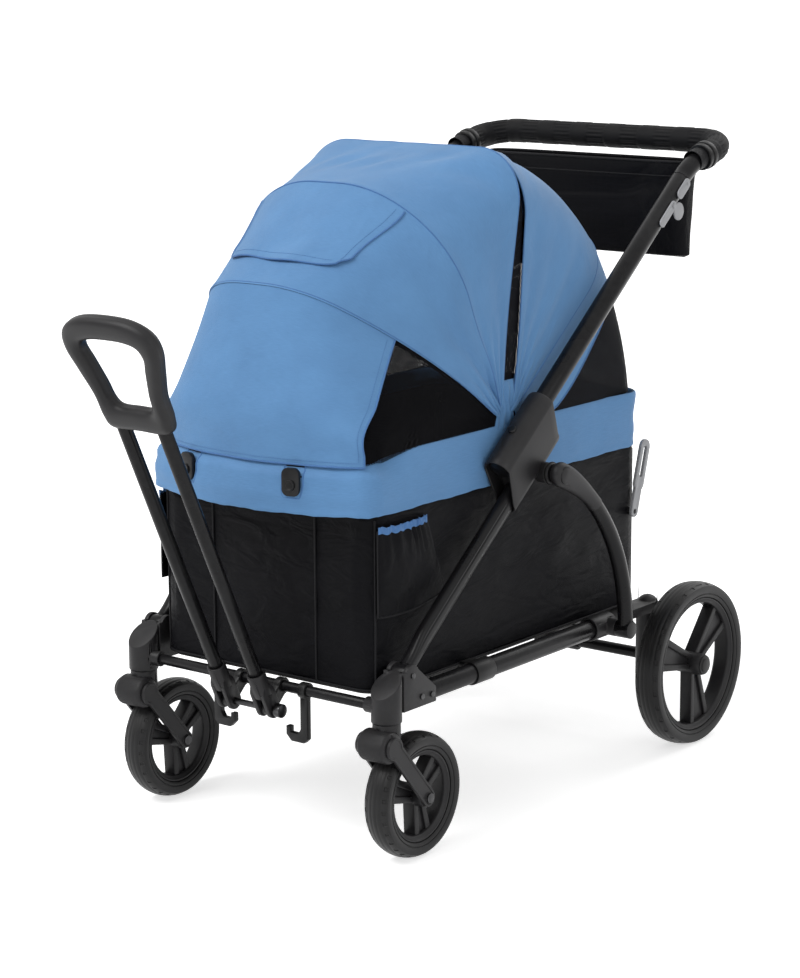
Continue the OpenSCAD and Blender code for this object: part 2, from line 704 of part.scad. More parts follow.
module sleeve_buttons() color(black) leg_frame() both_sides()
    translate([caster_x, -push_offset, (sleeve_start + 13 + sleeve_end) / 2 - 8]) rotate([90, 0, 0])
        translate([0, 0, push_r + 3.5]) cylinder(h = sleeve_r - push_r, r = sleeve_button_r);

// Top of the push handle: short straights, corners and the bar across
push_bar_x = caster_x - push_corner_r + lap;
module push_line(r) handle_frame() {
    both_sides() translate([caster_x, 0, 0]) {
        translate([0, 0, -lap]) cylinder(h = push_straight + 2 * lap, r = r);
        translate([0, 0, push_straight]) rotate([0, 0, 90]) bend(push_corner_r, r, 90);
    }
    translate([0, 0, push_bar_reach]) along_x(-push_bar_x, push_bar_x, r);
}

module push_tubes() color(black) {
    leg_frame() both_sides() translate([caster_x, -push_offset, 0]) {
        translate([0, 0, push_start]) cylinder(h = push_bend_at - push_start + lap, r = push_r);
        translate([0, 0, push_bend_at]) bend(push_bend_r, push_r, push_bend);
    }
    push_line(push_r);
}

module push_grip() color(dark) difference() {
    handle_frame() {
        both_sides() translate([caster_x, 0, 0]) {
            translate([0, 0, 10]) cylinder(h = push_straight - 10 + lap, r = push_grip_r);
            translate([0, 0, push_straight]) rotate([0, 0, 90]) bend(push_corner_r, push_grip_r, 90);
        }
        translate([0, 0, push_bar_reach]) along_x(-push_bar_x, push_bar_x, push_grip_r);
    }
    push_line(push_r + 0.1);
}

module push_collars() color(black) handle_frame() both_sides() translate([caster_x, 0, 0]) difference() {
    union() {
        translate([0, 0, -12]) cylinder(h = 10, r = push_grip_r + 1);
        cylinder(h = 9.5, r = push_grip_r + 2.5);
        translate([0, 0, -3]) cylinder(h = 4, r = push_grip_r);
    }
    translate([0, 0, -lap - gap]) cylinder(h = 20, r = push_r + gap);
    mirror([0, 0, 1]) bend(push_bend_r, push_r + gap, 10);
}

// Hanging bag between the push tubes, with loops round the bar
module organiser_bag() color(cloth_black) translate([0, fy, 0]) {
    wall = 4;
    bag_inset = 15;
    half = caster_x - push_r - bag_inset;
    bar = [bar_y, leg_pivot_z + bar_local[0] * sin(leg_angle) + bar_local[1] * cos(leg_angle)];
    y1 = bar[0] - 24;
    y0 = y1 - 72;
    z1 = bar[1] - 32;
    z0 = z1 - 173;
    loop_in = push_grip_r + gap;
    difference() {
        translate([-half, y0, z0]) cube([2 * half, y1 - y0, z1 - z0]);
        translate([-half + wall, y0 + wall, z0 + wall]) cube([2 * half - 2 * wall, y1 - y0 - 2 * wall, z1]);
    }
    both_sides() difference() {
        slab_x(half - 70, half - 40) {
            translate(bar) circle(loop_in + 2.5);
            link_2d(bar + [-loop_in - 1, 0], [y1 - 2, z1 - 10], 1.5);
        }
        translate([0, bar[0], bar[1]]) along_x(half - 71, half - 39, loop_in);
    }
}

// Plates riveted to the outside of the push tubes, and the studs that the triggers turn on
trigger_s = 983;
trigger_face = caster_x + push_r + gap;
module trigger_plates() color(grey) leg_frame() both_sides() translate([0, -push_offset, 0]) {
    slab_x(trigger_face, trigger_face + 3)
        link_2d([0, trigger_s + 29], [0, trigger_s + 54], 9);
    translate([0, 0, trigger_s + 54]) along_x(trigger_face - gap, trigger_face + 5, 3);
    translate([0, 0, trigger_s]) {
        along_x(trigger_face - gap, trigger_face + 3 + gap, 3);
        along_x(trigger_face + 3 + gap, trigger_face + 5, 4.5);
    }
}

module trigger(s) color(grey) leg_frame() on_side(s) translate([0, -push_offset, 0]) difference() {
    slab_x(trigger_face, trigger_face + 3) {
        link_2d([0, trigger_s - 42], [0, trigger_s], 8);
        translate([19, trigger_s + 6]) circle(15);
    }
    translate([0, 0, trigger_s]) along_x(trigger_face - 1, trigger_face + 4, 3 + fit);
}

// Arched rear legs, with a knuckle at each end that faces the sleeve and the rail
module rear_arches() color(black) translate([0, fy, 0]) both_sides() difference() {
    union() {
        translate([arch_x, arch_centre_y, rail_z]) rotate([90, 0, 90])
            rotate_extrude(angle = arch_sweep) translate([arch_bend_r, 0]) circle(arch_r);
        translate([0, arch_foot_y, rail_z]) along_x(pivot_face + gap, arch_x + arch_r, knuckle_r);
        translate([0, hub_y, hub_z]) along_x(pivot_face + gap, arch_x + arch_r, knuckle_r);
    }
    translate([0, arch_foot_y, rail_z]) along_x(pivot_face, arch_x + arch_r - 3, pin_r + fit);
}

// Two-piece folding posts under the rear of the rim
module rear_posts_lower() color(dark) translate([0, fy, 0]) both_sides() {
    difference() {
        slab_x(post_x - post_w, post_x) link_2d([post_y, post_foot_z], [post_y, post_knee_z], 8);
        translate([0, post_y, post_foot_z]) along_x(post_x - post_w - 1, post_x + 1, post_pin_r + fit);
    }
    translate([0, post_y, post_knee_z]) {
        along_x(post_x - 4, lever_x + lever_t + 1, post_pin_r);
        along_x(post_x + post_w + 2 * gap, lever_x - gap, post_pin_r + 3);
    }
}

module rear_posts_upper() color(dark) translate([0, fy, 0]) both_sides() difference() {
    slab_x(post_x + gap, post_x + gap + post_w) link_2d([post_y, post_knee_z], [post_y, post_top], 8);
    translate([0, post_y, post_knee_z]) along_x(post_x, post_x + post_w + 2, post_pin_r + fit);
}

// Lever on the knee of a folding post, outside the basket, with a finger slot
module fold_lever(s) color(grey) on_side(s) translate([0, fy, 0]) difference() {
    knee = [post_y, post_knee_z];
    along = [0.28, 0.96];
    tip = knee + 112.5 * along;
    slab_x(lever_x, lever_x + lever_t) {
        link_2d(knee, knee + 40 * along, 10);
        link_2d(knee + 50 * along, tip, 14);
    }
    slab_x(lever_x - 1, lever_x + lever_t + 1) link_2d(knee + 65 * along, tip - 2.5 * along, 5);
    translate([0, post_y, post_knee_z]) along_x(lever_x - 1, lever_x + lever_t + 1, post_pin_r + fit);
}

// Canopies

// The sides of a hoop are straight, or lean in along a wide arc that turns so far before the corner starts
arch_crown = 20;
function crown_of(half_x, corner, turn) = turn > 0 ? arch_crown : half_x - corner;
function side_r_of(half_x, corner, turn) = (half_x - arch_crown - corner * cos(turn)) / (1 - cos(turn));
function side_z_of(half_x, reach, corner, turn) = turn == 0 ? reach - corner
    : reach - side_r_of(half_x, corner, turn) * sin(turn) - corner * (1 - sin(turn));

// A hoop in the plane that leans by an angle from upright, from its eyes on the pivot
module bow(half_x, reach, corner, angle, turn = 0) translate([0, fy + canopy_pivot_y, canopy_pivot_z])
    rotate([-angle, 0, 0]) difference() {
        crown = crown_of(half_x, corner, turn);
        side_z = side_z_of(half_x, reach, corner, turn);
        start = turn > 0 ? turn - atan(lap / corner) : 0;
        union() {
            both_sides() {
                along_x(half_x - bow_r + 0.4, half_x + bow_r - 0.4, bow_eye_r);
                translate([half_x, 0, bow_eye_r - 2]) cylinder(h = side_z - bow_eye_r + 2 + lap, r = bow_r);
                if (turn > 0) translate([half_x, 0, side_z]) rotate([0, 0, 90])
                    bend(side_r_of(half_x, corner, turn), bow_r, turn);
                translate([crown + corner * cos(start), 0, reach - corner + corner * sin(start)])
                    rotate([0, -start, 0]) rotate([0, 0, 90])
                        bend(corner, turn > 0 ? bow_r - tuck : bow_r, 90 - start);
            }
            translate([0, 0, reach]) along_x(-crown - lap, crown + lap, bow_r);
        }
        both_sides() along_x(half_x - bow_r - 1, half_x + bow_r + 1, bow_pin_r + fit);
    }

bow_mid_corner = 80;
bow_back_corner = 100;
bow_two_corner = 190;
bow_three_corner = 130;
bow_three_turn = 35;
bow_rear_corner = 150;

module mid_bows() color(grey) {
    bow(bow_mid_x, bow_mid_reach, bow_mid_corner, bow_mid_angle);
    bow(bow_back_x, bow_back_reach, bow_back_corner, bow_back_angle);
}

module front_bow_two() color(grey) bow(bow_two_x, bow_two_reach, bow_two_corner, bow_two_angle);

module front_bow_three() color(grey)
    bow(bow_three_x, bow_three_reach, bow_three_corner, bow_three_angle, bow_three_turn);

module rear_bow() color(grey) bow(bow_rear_x, bow_rear_reach, bow_rear_corner, bow_rear_angle);

// One hoop-shaped row of the cloth: feet, corners and crown in the plane of that angle
corner_steps = 8;
function hoop_side(half_x, reach, corner, turn) = concat([[half_x, cloth_foot]], [for (i = [0:corner_steps])
    let (middle = corner_steps / 2,
         a = turn == 0 ? 90 * i / corner_steps
             : i < middle ? turn * i / middle : turn + (90 - turn) * (i - middle) / middle,
         side_r = side_r_of(half_x, corner, turn))
    a < turn ? [half_x - side_r * (1 - cos(a)), side_z_of(half_x, reach, corner, turn) + side_r * sin(a)]
             : [crown_of(half_x, corner, turn) + corner * cos(a), reach - corner * (1 - sin(a))]]);
function hoop(half_x, reach, corner, turn) = let (side = hoop_side(half_x, reach, corner, turn)) concat(
    [for (p = side) [-p[0], p[1]]],
    [for (i = [len(side) - 1:-1:0]) side[i]]);

function lean(points, angle) = [for (p = points) [p[0], fy + canopy_pivot_y + p[1] * sin(angle),
                                                  canopy_pivot_z + p[1] * cos(angle)]];

// A closed sheet stretched straight from hoop to hoop; each hoop is [angle, reach, corner, turn]
module cloth(hoops) {
    rows = len(hoops);
    n = 2 * corner_steps + 4;
    grow = bow_r + cloth_gap;
    layer = function (t) [for (h = hoops)
        each lean(hoop(cloth_x + t, h[1] + grow + t, h[2] + grow + t, h[3]), h[0])];
    quad = function (a, b, c, d) [[a, b, c], [a, c, d]];
    outer = rows * n;
    last = (rows - 1) * n;
    faces = concat(
        [for (i = [0:rows - 2], j = [0:n - 2]) let (k = i * n + j) each concat(
            quad(outer + k, outer + k + 1, outer + k + n + 1, outer + k + n),
            quad(k, k + n, k + n + 1, k + 1))],
        [for (j = [0:n - 2]) each concat(
            quad(j, j + 1, outer + j + 1, outer + j),
            quad(last + j, outer + last + j, outer + last + j + 1, last + j + 1))],
        [for (i = [0:rows - 2]) let (k = i * n, m = i * n + n - 1) each concat(
            quad(k, outer + k, outer + k + n, k + n),
            quad(m, m + n, outer + m + n, outer + m))]);
    polyhedron(points = concat(layer(0), layer(canopy_t)), faces = faces);
}

edge_corner = 110;

module front_canopy() color(blue) cloth([
    [bow_mid_angle, bow_mid_reach, bow_mid_corner, 0],
    [bow_two_angle, bow_two_reach, bow_two_corner, 0],
    [bow_three_angle, bow_three_reach, bow_three_corner, bow_three_turn],
    [-90, front_edge_reach, edge_corner, 0]]);

// The rear canopy is full between its bows
module rear_canopy() color(blue) {
    tail = [90, rear_edge_reach, edge_corner, 0];
    rear = [bow_rear_angle, bow_rear_reach, bow_rear_corner, 0];
    back = [bow_back_angle, bow_back_reach, bow_back_corner, 0];
    cloth([tail, (tail + rear) / 2, rear, (rear + back) / 2, back]);
}

// Sides and handed pieces

module side_rail_left() side_rail(-1);
module side_rail_right() side_rail(1);
module front_bracket_left() front_bracket(-1);
module front_bracket_right() front_bracket(1);
module rear_bracket_left() rear_bracket(-1);
module rear_bracket_right() rear_bracket(1);
module caster_crown_left() caster_crown(-1);
module caster_crown_right() caster_crown(1);
module swing_arm_left() swing_arm(-1);
module swing_arm_right() swing_arm(1);
module front_axle_left() front_axle(-1);
module front_axle_right() front_axle(1);
module front_rim_left() front_rim(-1);
module front_rim_right() front_rim(1);
module front_tyre_left() front_tyre(-1);
module front_tyre_right() front_tyre(1);
module rear_rim_left() rear_rim(-1);
module rear_rim_right() rear_rim(1);
module rear_tyre_left() rear_tyre(-1);
module rear_tyre_right() rear_tyre(1);
module rear_hub_cap_left() rear_hub_cap(-1);
module rear_hub_cap_right() rear_hub_cap(1);
module trigger_left() trigger(-1);
module trigger_right() trigger(1);
module fold_lever_left() fold_lever(-1);
module fold_lever_right() fold_lever(1);

side_rail_left();
side_rail_right();
front_bracket_left();
front_bracket_right();
front_cross_tube();
rear_axle();
rear_bracket_left();
rear_bracket_right();
rail_collars();
floor_board();
basket_fabric();
side_pockets();
seat_pads();
pull_mount();
pull_pin();
chassis_bolts();
brake_pedal();
caster_crown_left();
caster_crown_right();
swing_arm_left();
swing_arm_right();
front_axle_left();
front_axle_right();
front_rim_left();
front_rim_right();
front_tyre_left();
front_tyre_right();
rear_rim_left();
rear_rim_right();
rear_tyre_left();
rear_tyre_right();
rear_hub_cap_left();
rear_hub_cap_right();
pull_yokes();
pull_tubes();
pull_grip();
front_legs();
hub_sleeves();
sleeve_buttons();
push_tubes();
push_grip();
push_collars();
organiser_bag();
trigger_plates();
trigger_left();
trigger_right();
rear_arches();
rim_frame();
rim_band();
front_clips();
rear_posts_lower();
rear_posts_upper();
fold_lever_left();
fold_lever_right();
mid_bows();
front_bow_two();
front_bow_three();
rear_bow();
front_canopy();
rear_canopy();
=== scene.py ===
import json
import math
import bpy
from mathutils import Matrix, Vector, noise
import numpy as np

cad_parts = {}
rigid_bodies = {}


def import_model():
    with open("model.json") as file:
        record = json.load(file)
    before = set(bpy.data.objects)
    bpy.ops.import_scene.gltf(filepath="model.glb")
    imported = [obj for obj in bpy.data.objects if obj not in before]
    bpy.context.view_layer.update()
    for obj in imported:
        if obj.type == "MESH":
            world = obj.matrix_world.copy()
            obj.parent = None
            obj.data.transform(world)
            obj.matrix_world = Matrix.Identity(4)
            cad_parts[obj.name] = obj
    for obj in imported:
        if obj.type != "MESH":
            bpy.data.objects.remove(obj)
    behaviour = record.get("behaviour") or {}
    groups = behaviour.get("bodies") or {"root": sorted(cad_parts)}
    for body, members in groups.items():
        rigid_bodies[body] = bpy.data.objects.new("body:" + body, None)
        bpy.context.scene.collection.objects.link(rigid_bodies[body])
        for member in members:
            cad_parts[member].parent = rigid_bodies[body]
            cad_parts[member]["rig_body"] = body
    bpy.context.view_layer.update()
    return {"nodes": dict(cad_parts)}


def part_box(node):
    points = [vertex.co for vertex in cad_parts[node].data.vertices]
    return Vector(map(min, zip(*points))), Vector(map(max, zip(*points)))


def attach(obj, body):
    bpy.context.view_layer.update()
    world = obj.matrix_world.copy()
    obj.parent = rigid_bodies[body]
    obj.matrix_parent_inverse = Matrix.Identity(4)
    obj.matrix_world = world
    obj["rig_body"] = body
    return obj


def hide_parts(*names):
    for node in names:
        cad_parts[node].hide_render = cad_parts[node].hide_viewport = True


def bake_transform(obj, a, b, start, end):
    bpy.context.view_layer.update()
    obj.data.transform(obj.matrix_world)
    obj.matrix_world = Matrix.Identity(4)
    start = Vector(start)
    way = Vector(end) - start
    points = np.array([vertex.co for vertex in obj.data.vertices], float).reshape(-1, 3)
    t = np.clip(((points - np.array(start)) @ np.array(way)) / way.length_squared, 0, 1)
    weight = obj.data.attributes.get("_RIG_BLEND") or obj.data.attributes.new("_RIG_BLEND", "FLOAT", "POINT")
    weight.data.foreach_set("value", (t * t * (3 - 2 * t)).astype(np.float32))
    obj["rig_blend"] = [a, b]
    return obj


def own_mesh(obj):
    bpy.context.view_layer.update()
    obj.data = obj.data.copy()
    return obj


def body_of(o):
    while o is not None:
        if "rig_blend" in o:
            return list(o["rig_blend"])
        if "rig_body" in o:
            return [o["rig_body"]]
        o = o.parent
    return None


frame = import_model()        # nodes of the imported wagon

scene = bpy.context.scene
scene.view_settings.view_transform = "Standard"

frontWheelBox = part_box("front_tyre_right")
axleY = (frontWheelBox[0].y + frontWheelBox[1].y) / 2
legX = 253               # casters, legs and push tubes lie in one upright plane on each side


def at(x, y, z):
    return Vector((x / 1000, axleY + y / 1000, z / 1000))   # millimetres, Y from the front axle


def mix(a, b, t):
    return a + (b - a) * t


def ease(t):
    t = min(1, max(0, t))
    return t * t * (3 - 2 * t)


# camera

shot = {"azimuth": 37.78, "elevation": 11.96, "roll": -0.28, "lens": 99.47,
        "place": (2704.89, -3191.84, 1438.76)}


def addCamera():
    bpy.ops.object.camera_add()
    camera = bpy.context.object
    az, el, roll = (math.radians(shot[k]) for k in ("azimuth", "elevation", "roll"))
    forward = Vector((-math.sin(az) * math.cos(el), math.cos(az) * math.cos(el), -math.sin(el)))
    right = Vector((math.cos(az), math.sin(az), 0))
    up = right.cross(forward)
    turn = Matrix.Rotation(roll, 3, -forward)
    right, up = turn @ right, turn @ up
    camera.matrix_world = Matrix((right, up, -forward)).transposed().to_4x4()
    camera.location = at(*shot["place"])
    camera.data.lens = shot["lens"]
    camera.data.clip_end = 100
    scene.camera = camera


addCamera()
print("camera placed")


# shader helpers

def addNode(tree, kind, inputs=None, **settings):
    node = tree.nodes.new("ShaderNode" + kind)
    for key, value in settings.items():
        setattr(node, key, value)
    for key, value in (inputs or {}).items():
        if isinstance(value, bpy.types.NodeSocket):
            tree.links.new(value, node.inputs[key])
        else:
            node.inputs[key].default_value = value
    return node


def newGroup(name, inputs, outputs):
    tree = bpy.data.node_groups.new(name, "ShaderNodeTree")
    for label, kind, value in inputs:
        socket = tree.interface.new_socket(name=label, in_out="INPUT", socket_type="NodeSocket" + kind)
        if value is not None:
            socket.default_value = value
    for label in outputs:
        tree.interface.new_socket(name=label, in_out="OUTPUT", socket_type="NodeSocketFloat")
    start = tree.nodes.new("NodeGroupInput")
    end = tree.nodes.new("NodeGroupOutput")
    return tree, start.outputs, end.inputs


def mathNode(tree, operation, a, b=0.0, clamp=False):
    return addNode(tree, "Math", {0: a, 1: b}, operation=operation, use_clamp=clamp).outputs[0]


def mapped(tree, value, low, high, toLow=0.0, toHigh=1.0):
    inputs = {"Value": value, "From Min": low, "From Max": high, "To Min": toLow, "To Max": toHigh}
    return addNode(tree, "MapRange", inputs).outputs[0]


def makeWeave():
    # crossing threads with a slub along them, and slow blotches of shade
    tree, start, end = newGroup("weave", [("Vector", "Vector", None), ("Threads", "Float", 900)],
                                ["Height", "Tone", "Crease"])
    scaled = addNode(tree, "VectorMath", {0: start["Vector"], "Scale": start["Threads"]}, operation="SCALE")
    split = addNode(tree, "SeparateXYZ", {0: scaled.outputs[0]})
    along, across = split.outputs[0], split.outputs[1]
    warp = mathNode(tree, "ABSOLUTE", mathNode(tree, "SINE", mathNode(tree, "MULTIPLY", along, math.pi)))
    weft = mathNode(tree, "ABSOLUTE", mathNode(tree, "SINE", mathNode(tree, "MULTIPLY", across, math.pi)))
    checker = addNode(tree, "TexChecker", {"Vector": scaled.outputs[0], "Scale": 1.0})
    over = addNode(tree, "Mix", {0: checker.outputs["Fac"], 2: warp, 3: weft})
    tree.links.new(over.outputs[0], end["Height"])
    slubSpot = addNode(tree, "Mapping", {"Vector": start["Vector"], "Scale": (60, 900, 60)})
    slub = addNode(tree, "TexNoise", {"Vector": slubSpot.outputs[0], "Scale": 1.0, "Detail": 2.0})
    blotch = addNode(tree, "TexNoise", {"Vector": start["Vector"], "Scale": 9.0, "Detail": 3.0})
    both = mathNode(tree, "ADD", mathNode(tree, "MULTIPLY", slub.outputs["Fac"], 0.45),
                    mathNode(tree, "MULTIPLY", blotch.outputs["Fac"], 0.55))
    tree.links.new(mapped(tree, both, 0.35, 0.65), end["Tone"])
    crease = addNode(tree, "TexNoise", {"Vector": start["Vector"], "Scale": 16.0, "Detail": 2.5,
                                        "Distortion": 0.8})
    tree.links.new(crease.outputs["Fac"], end["Crease"])
    return tree


def makeGrain():
    # fine moulded grain, and slow changes of shade
    tree, start, end = newGroup("grain", [("Vector", "Vector", None), ("Fineness", "Float", 700)],
                                ["Height", "Tone"])
    fine = addNode(tree, "TexNoise", {"Vector": start["Vector"], "Scale": start["Fineness"], "Detail": 3.0})
    cells = addNode(tree, "TexVoronoi", {"Vector": start["Vector"], "Scale": start["Fineness"]})
    height = mathNode(tree, "ADD", fine.outputs["Fac"], cells.outputs["Distance"])
    tree.links.new(height, end["Height"])
    slow = addNode(tree, "TexNoise", {"Vector": start["Vector"], "Scale": 14.0, "Detail": 4.0})
    tree.links.new(mapped(tree, slow.outputs["Fac"], 0.35, 0.65), end["Tone"])
    return tree


def makeWear():
    # rubbed edges, broken up by noise
    tree, start, end = newGroup("edgeWear", [("Vector", "Vector", None), ("Amount", "Float", 0.5)],
                                ["Mask"])
    sharp = addNode(tree, "NewGeometry").outputs["Pointiness"]
    edge = mapped(tree, sharp, 0.52, 0.6)
    patch = addNode(tree, "TexNoise", {"Vector": start["Vector"], "Scale": 90.0, "Detail": 4.0})
    broken = mathNode(tree, "MULTIPLY", edge, mapped(tree, patch.outputs["Fac"], 0.4, 0.7))
    tree.links.new(mathNode(tree, "MULTIPLY", broken, start["Amount"], clamp=True), end["Mask"])
    return tree


def makeDust():
    # thin dust in patches on faces that look up
    tree, start, end = newGroup("dust", [("Vector", "Vector", None), ("Amount", "Float", 0.3)], ["Mask"])
    facing = addNode(tree, "SeparateXYZ", {0: addNode(tree, "NewGeometry").outputs["Normal"]}).outputs[2]
    up = mapped(tree, facing, 0.2, 1.0)
    patch = addNode(tree, "TexNoise", {"Vector": start["Vector"], "Scale": 22.0, "Detail": 6.0})
    spotty = mathNode(tree, "MULTIPLY", up, mapped(tree, patch.outputs["Fac"], 0.42, 0.75))
    tree.links.new(mathNode(tree, "MULTIPLY", spotty, start["Amount"], clamp=True), end["Mask"])
    return tree


weaveGroup, grainGroup, wearGroup, dustGroup = makeWeave(), makeGrain(), makeWear(), makeDust()


def groupNode(tree, group, vector, **values):
    node = tree.nodes.new("ShaderNodeGroup")
    node.node_tree = group
    tree.links.new(vector, node.inputs["Vector"])
    for key, value in values.items():
        node.inputs[key].default_value = value
    return node.outputs


def startMaterial(name):
    material = bpy.data.materials.new(name)
    material.use_nodes = True
    tree = material.node_tree
    shader = tree.nodes["Principled BSDF"]
    return material, tree, shader, addNode(tree, "TexCoord").outputs


def blendColour(tree, mask, low, high):
    node = addNode(tree, "Mix", {0: mask}, data_type="RGBA")
    for socket, colour in ((node.inputs[6], low), (node.inputs[7], high)):
        if isinstance(colour, bpy.types.NodeSocket):
            tree.links.new(colour, socket)
        else:
            socket.default_value = (*colour, 1)
    return node.outputs[2]


def bumpFrom(tree, shader, height, strength, distance, under=None):
    bump = addNode(tree, "Bump", {"Height": height, "Strength": strength, "Distance": distance})
    if under:
        tree.links.new(under, bump.inputs["Normal"])
    tree.links.new(bump.outputs[0], shader.inputs["Normal"])
    return bump.outputs[0]


creaseDepth, threadDepth, grainDepth = 0.012, 0.0004, 0.0003      # relief in metres


def clothMaterial(name, look):
    material, tree, shader, spots = startMaterial(name)
    vector = spots["UV" if look["onUv"] else "Object"]
    weave = groupNode(tree, weaveGroup, vector, Threads=look["threads"])
    shade = blendColour(tree, weave["Tone"], look["dark"], look["light"])
    dust = groupNode(tree, dustGroup, spots["Object"], Amount=look["dust"])
    tree.links.new(blendColour(tree, dust["Mask"], shade, look["dustColour"]), shader.inputs["Base Color"])
    uneven = 0.06
    rough = mapped(tree, weave["Tone"], 0, 1, look["rough"] - uneven, look["rough"] + uneven)
    tree.links.new(rough, shader.inputs["Roughness"])
    shader.inputs["Sheen Weight"].default_value = look["sheen"]
    shader.inputs["Sheen Roughness"].default_value = 0.4
    shader.inputs["Specular IOR Level"].default_value = look["gloss"]
    creased = bumpFrom(tree, shader, weave["Crease"], look["crease"], creaseDepth)
    bumpFrom(tree, shader, weave["Height"], look["relief"], threadDepth, creased)
    return material


def hardMaterial(name, look):
    material, tree, shader, spots = startMaterial(name)
    vector = spots["Object"]
    grain = groupNode(tree, grainGroup, vector, Fineness=look["fineness"])
    wear = groupNode(tree, wearGroup, vector, Amount=look["wear"])
    dust = groupNode(tree, dustGroup, vector, Amount=look["dust"])
    shade = blendColour(tree, grain["Tone"], look["dark"], look["light"])
    worn = blendColour(tree, wear["Mask"], shade, look["worn"])
    tree.links.new(blendColour(tree, dust["Mask"], worn, look["dustColour"]), shader.inputs["Base Color"])
    uneven = 0.05
    rough = mapped(tree, grain["Tone"], 0, 1, look["rough"] - uneven, look["rough"] + uneven)
    tree.links.new(rough, shader.inputs["Roughness"])
    shader.inputs["Metallic"].default_value = look["metal"]
    shader.inputs["Specular IOR Level"].default_value = look["gloss"]
    shader.inputs["Coat Weight"].default_value = look["coat"]
    shader.inputs["Coat Roughness"].default_value = 0.15
    bumpFrom(tree, shader, grain["Height"], look["relief"], grainDepth)
    return material


def meshMaterial(name, look):
    # open netting: holes between threads
    material, tree, shader, spots = startMaterial(name)
    scaled = addNode(tree, "VectorMath", {0: spots["UV"], "Scale": look["holes"]}, operation="SCALE")
    split = addNode(tree, "SeparateXYZ", {0: scaled.outputs[0]})
    sides = []
    for axis in (0, 1):
        wave = mathNode(tree, "SINE", mathNode(tree, "MULTIPLY", split.outputs[axis], math.pi))
        sides.append(mathNode(tree, "ABSOLUTE", wave))
    hole = mathNode(tree, "MULTIPLY", sides[0], sides[1])
    thread = mathNode(tree, "LESS_THAN", hole, look["open"])
    tree.links.new(thread, shader.inputs["Alpha"])
    slow = groupNode(tree, weaveGroup, spots["UV"], Threads=look["holes"])
    shade = blendColour(tree, slow["Tone"], look["dark"], look["light"])
    tree.links.new(shade, shader.inputs["Base Color"])
    shader.inputs["Roughness"].default_value = look["rough"]
    shader.inputs["Specular IOR Level"].default_value = look["gloss"]
    bumpFrom(tree, shader, hole, 0.4, threadDepth)
    return material


paleDust = (0.36, 0.34, 0.31)
blackDust = (0.05, 0.05, 0.05)
blueDust = (0.3, 0.4, 0.55)
clothLook = {"onUv": False, "dust": 0.03, "dustColour": blackDust, "rough": 0.7, "sheen": 0.0}
hardLook = {"wear": 0.3, "dust": 0.03, "dustColour": paleDust, "metal": 0.0, "coat": 0.0}
nettingLook = {"rough": 0.6, "gloss": 0.05}
blueCloth = clothMaterial("blueCloth", {
    **clothLook, "onUv": True, "threads": 900, "dark": (0.1, 0.24, 0.465), "light": (0.125, 0.29, 0.545),
    "dust": 0.05, "dustColour": blueDust, "sheen": 0.2, "gloss": 0.3, "relief": 0.25, "crease": 0.16})
blueTrim = clothMaterial("blueTrim", {
    **clothLook, "threads": 620, "dark": (0.06, 0.16, 0.37), "light": (0.085, 0.21, 0.46),
    "dustColour": blueDust, "sheen": 0.2, "gloss": 0.3, "relief": 0.5, "crease": 0.05})
blackCloth = clothMaterial("blackCloth", {
    **clothLook, "onUv": True, "threads": 700, "dark": (0.0035, 0.0035, 0.0044),
    "light": (0.006, 0.006, 0.0074), "rough": 0.45, "gloss": 0.055, "relief": 0.3, "crease": 0.55})
padCloth = clothMaterial("padCloth", {
    **clothLook, "threads": 520, "dark": (0.01, 0.01, 0.0115), "light": (0.018, 0.018, 0.02),
    "dust": 0.04, "sheen": 0.05, "gloss": 0.15, "relief": 0.4, "crease": 0.2})
blackTrim = clothMaterial("blackTrim", {
    **clothLook, "threads": 560, "dark": (0.005, 0.005, 0.006), "light": (0.009, 0.009, 0.0105),
    "rough": 0.55, "gloss": 0.15, "relief": 0.5, "crease": 0.1})
netting = meshMaterial("netting", {
    **nettingLook, "holes": 420, "open": 0.68, "dark": (0.004, 0.0042, 0.006),
    "light": (0.007, 0.0075, 0.01)})
openNetting = meshMaterial("openNetting", {
    **nettingLook, "holes": 330, "open": 0.42, "dark": (0.003, 0.003, 0.004),
    "light": (0.006, 0.006, 0.0075)})
tubePaint = hardMaterial("tubePaint", {
    **hardLook, "fineness": 420, "dark": (0.005, 0.0048, 0.0055), "light": (0.008, 0.0078, 0.0088),
    "worn": (0.05, 0.05, 0.05), "wear": 0.25, "dust": 0.02, "rough": 0.3, "gloss": 0.15, "coat": 0.03,
    "relief": 0.03})
moulding = hardMaterial("moulding", {
    **hardLook, "fineness": 900, "dark": (0.011, 0.0105, 0.0115), "light": (0.016, 0.0155, 0.0168),
    "worn": (0.06, 0.06, 0.06), "rough": 0.44, "gloss": 0.25, "relief": 0.12})
blackMoulding = hardMaterial("blackMoulding", {
    **hardLook, "fineness": 800, "dark": (0.005, 0.005, 0.0055), "light": (0.008, 0.008, 0.0085),
    "worn": (0.05, 0.05, 0.05), "rough": 0.38, "gloss": 0.24, "relief": 0.1})
greyMoulding = hardMaterial("greyMoulding", {
    **hardLook, "fineness": 800, "dark": (0.29, 0.295, 0.31), "light": (0.38, 0.385, 0.4),
    "worn": (0.5, 0.5, 0.5), "dust": 0.1, "dustColour": (0.2, 0.19, 0.18), "rough": 0.42, "gloss": 0.4,
    "relief": 0.1})
steel = hardMaterial("steel", {
    **hardLook, "fineness": 500, "dark": (0.035, 0.035, 0.037), "light": (0.06, 0.06, 0.062),
    "worn": (0.3, 0.3, 0.3), "wear": 0.5, "dust": 0.04, "dustColour": (0.25, 0.24, 0.22), "rough": 0.3,
    "metal": 1.0, "gloss": 0.5, "relief": 0.05})
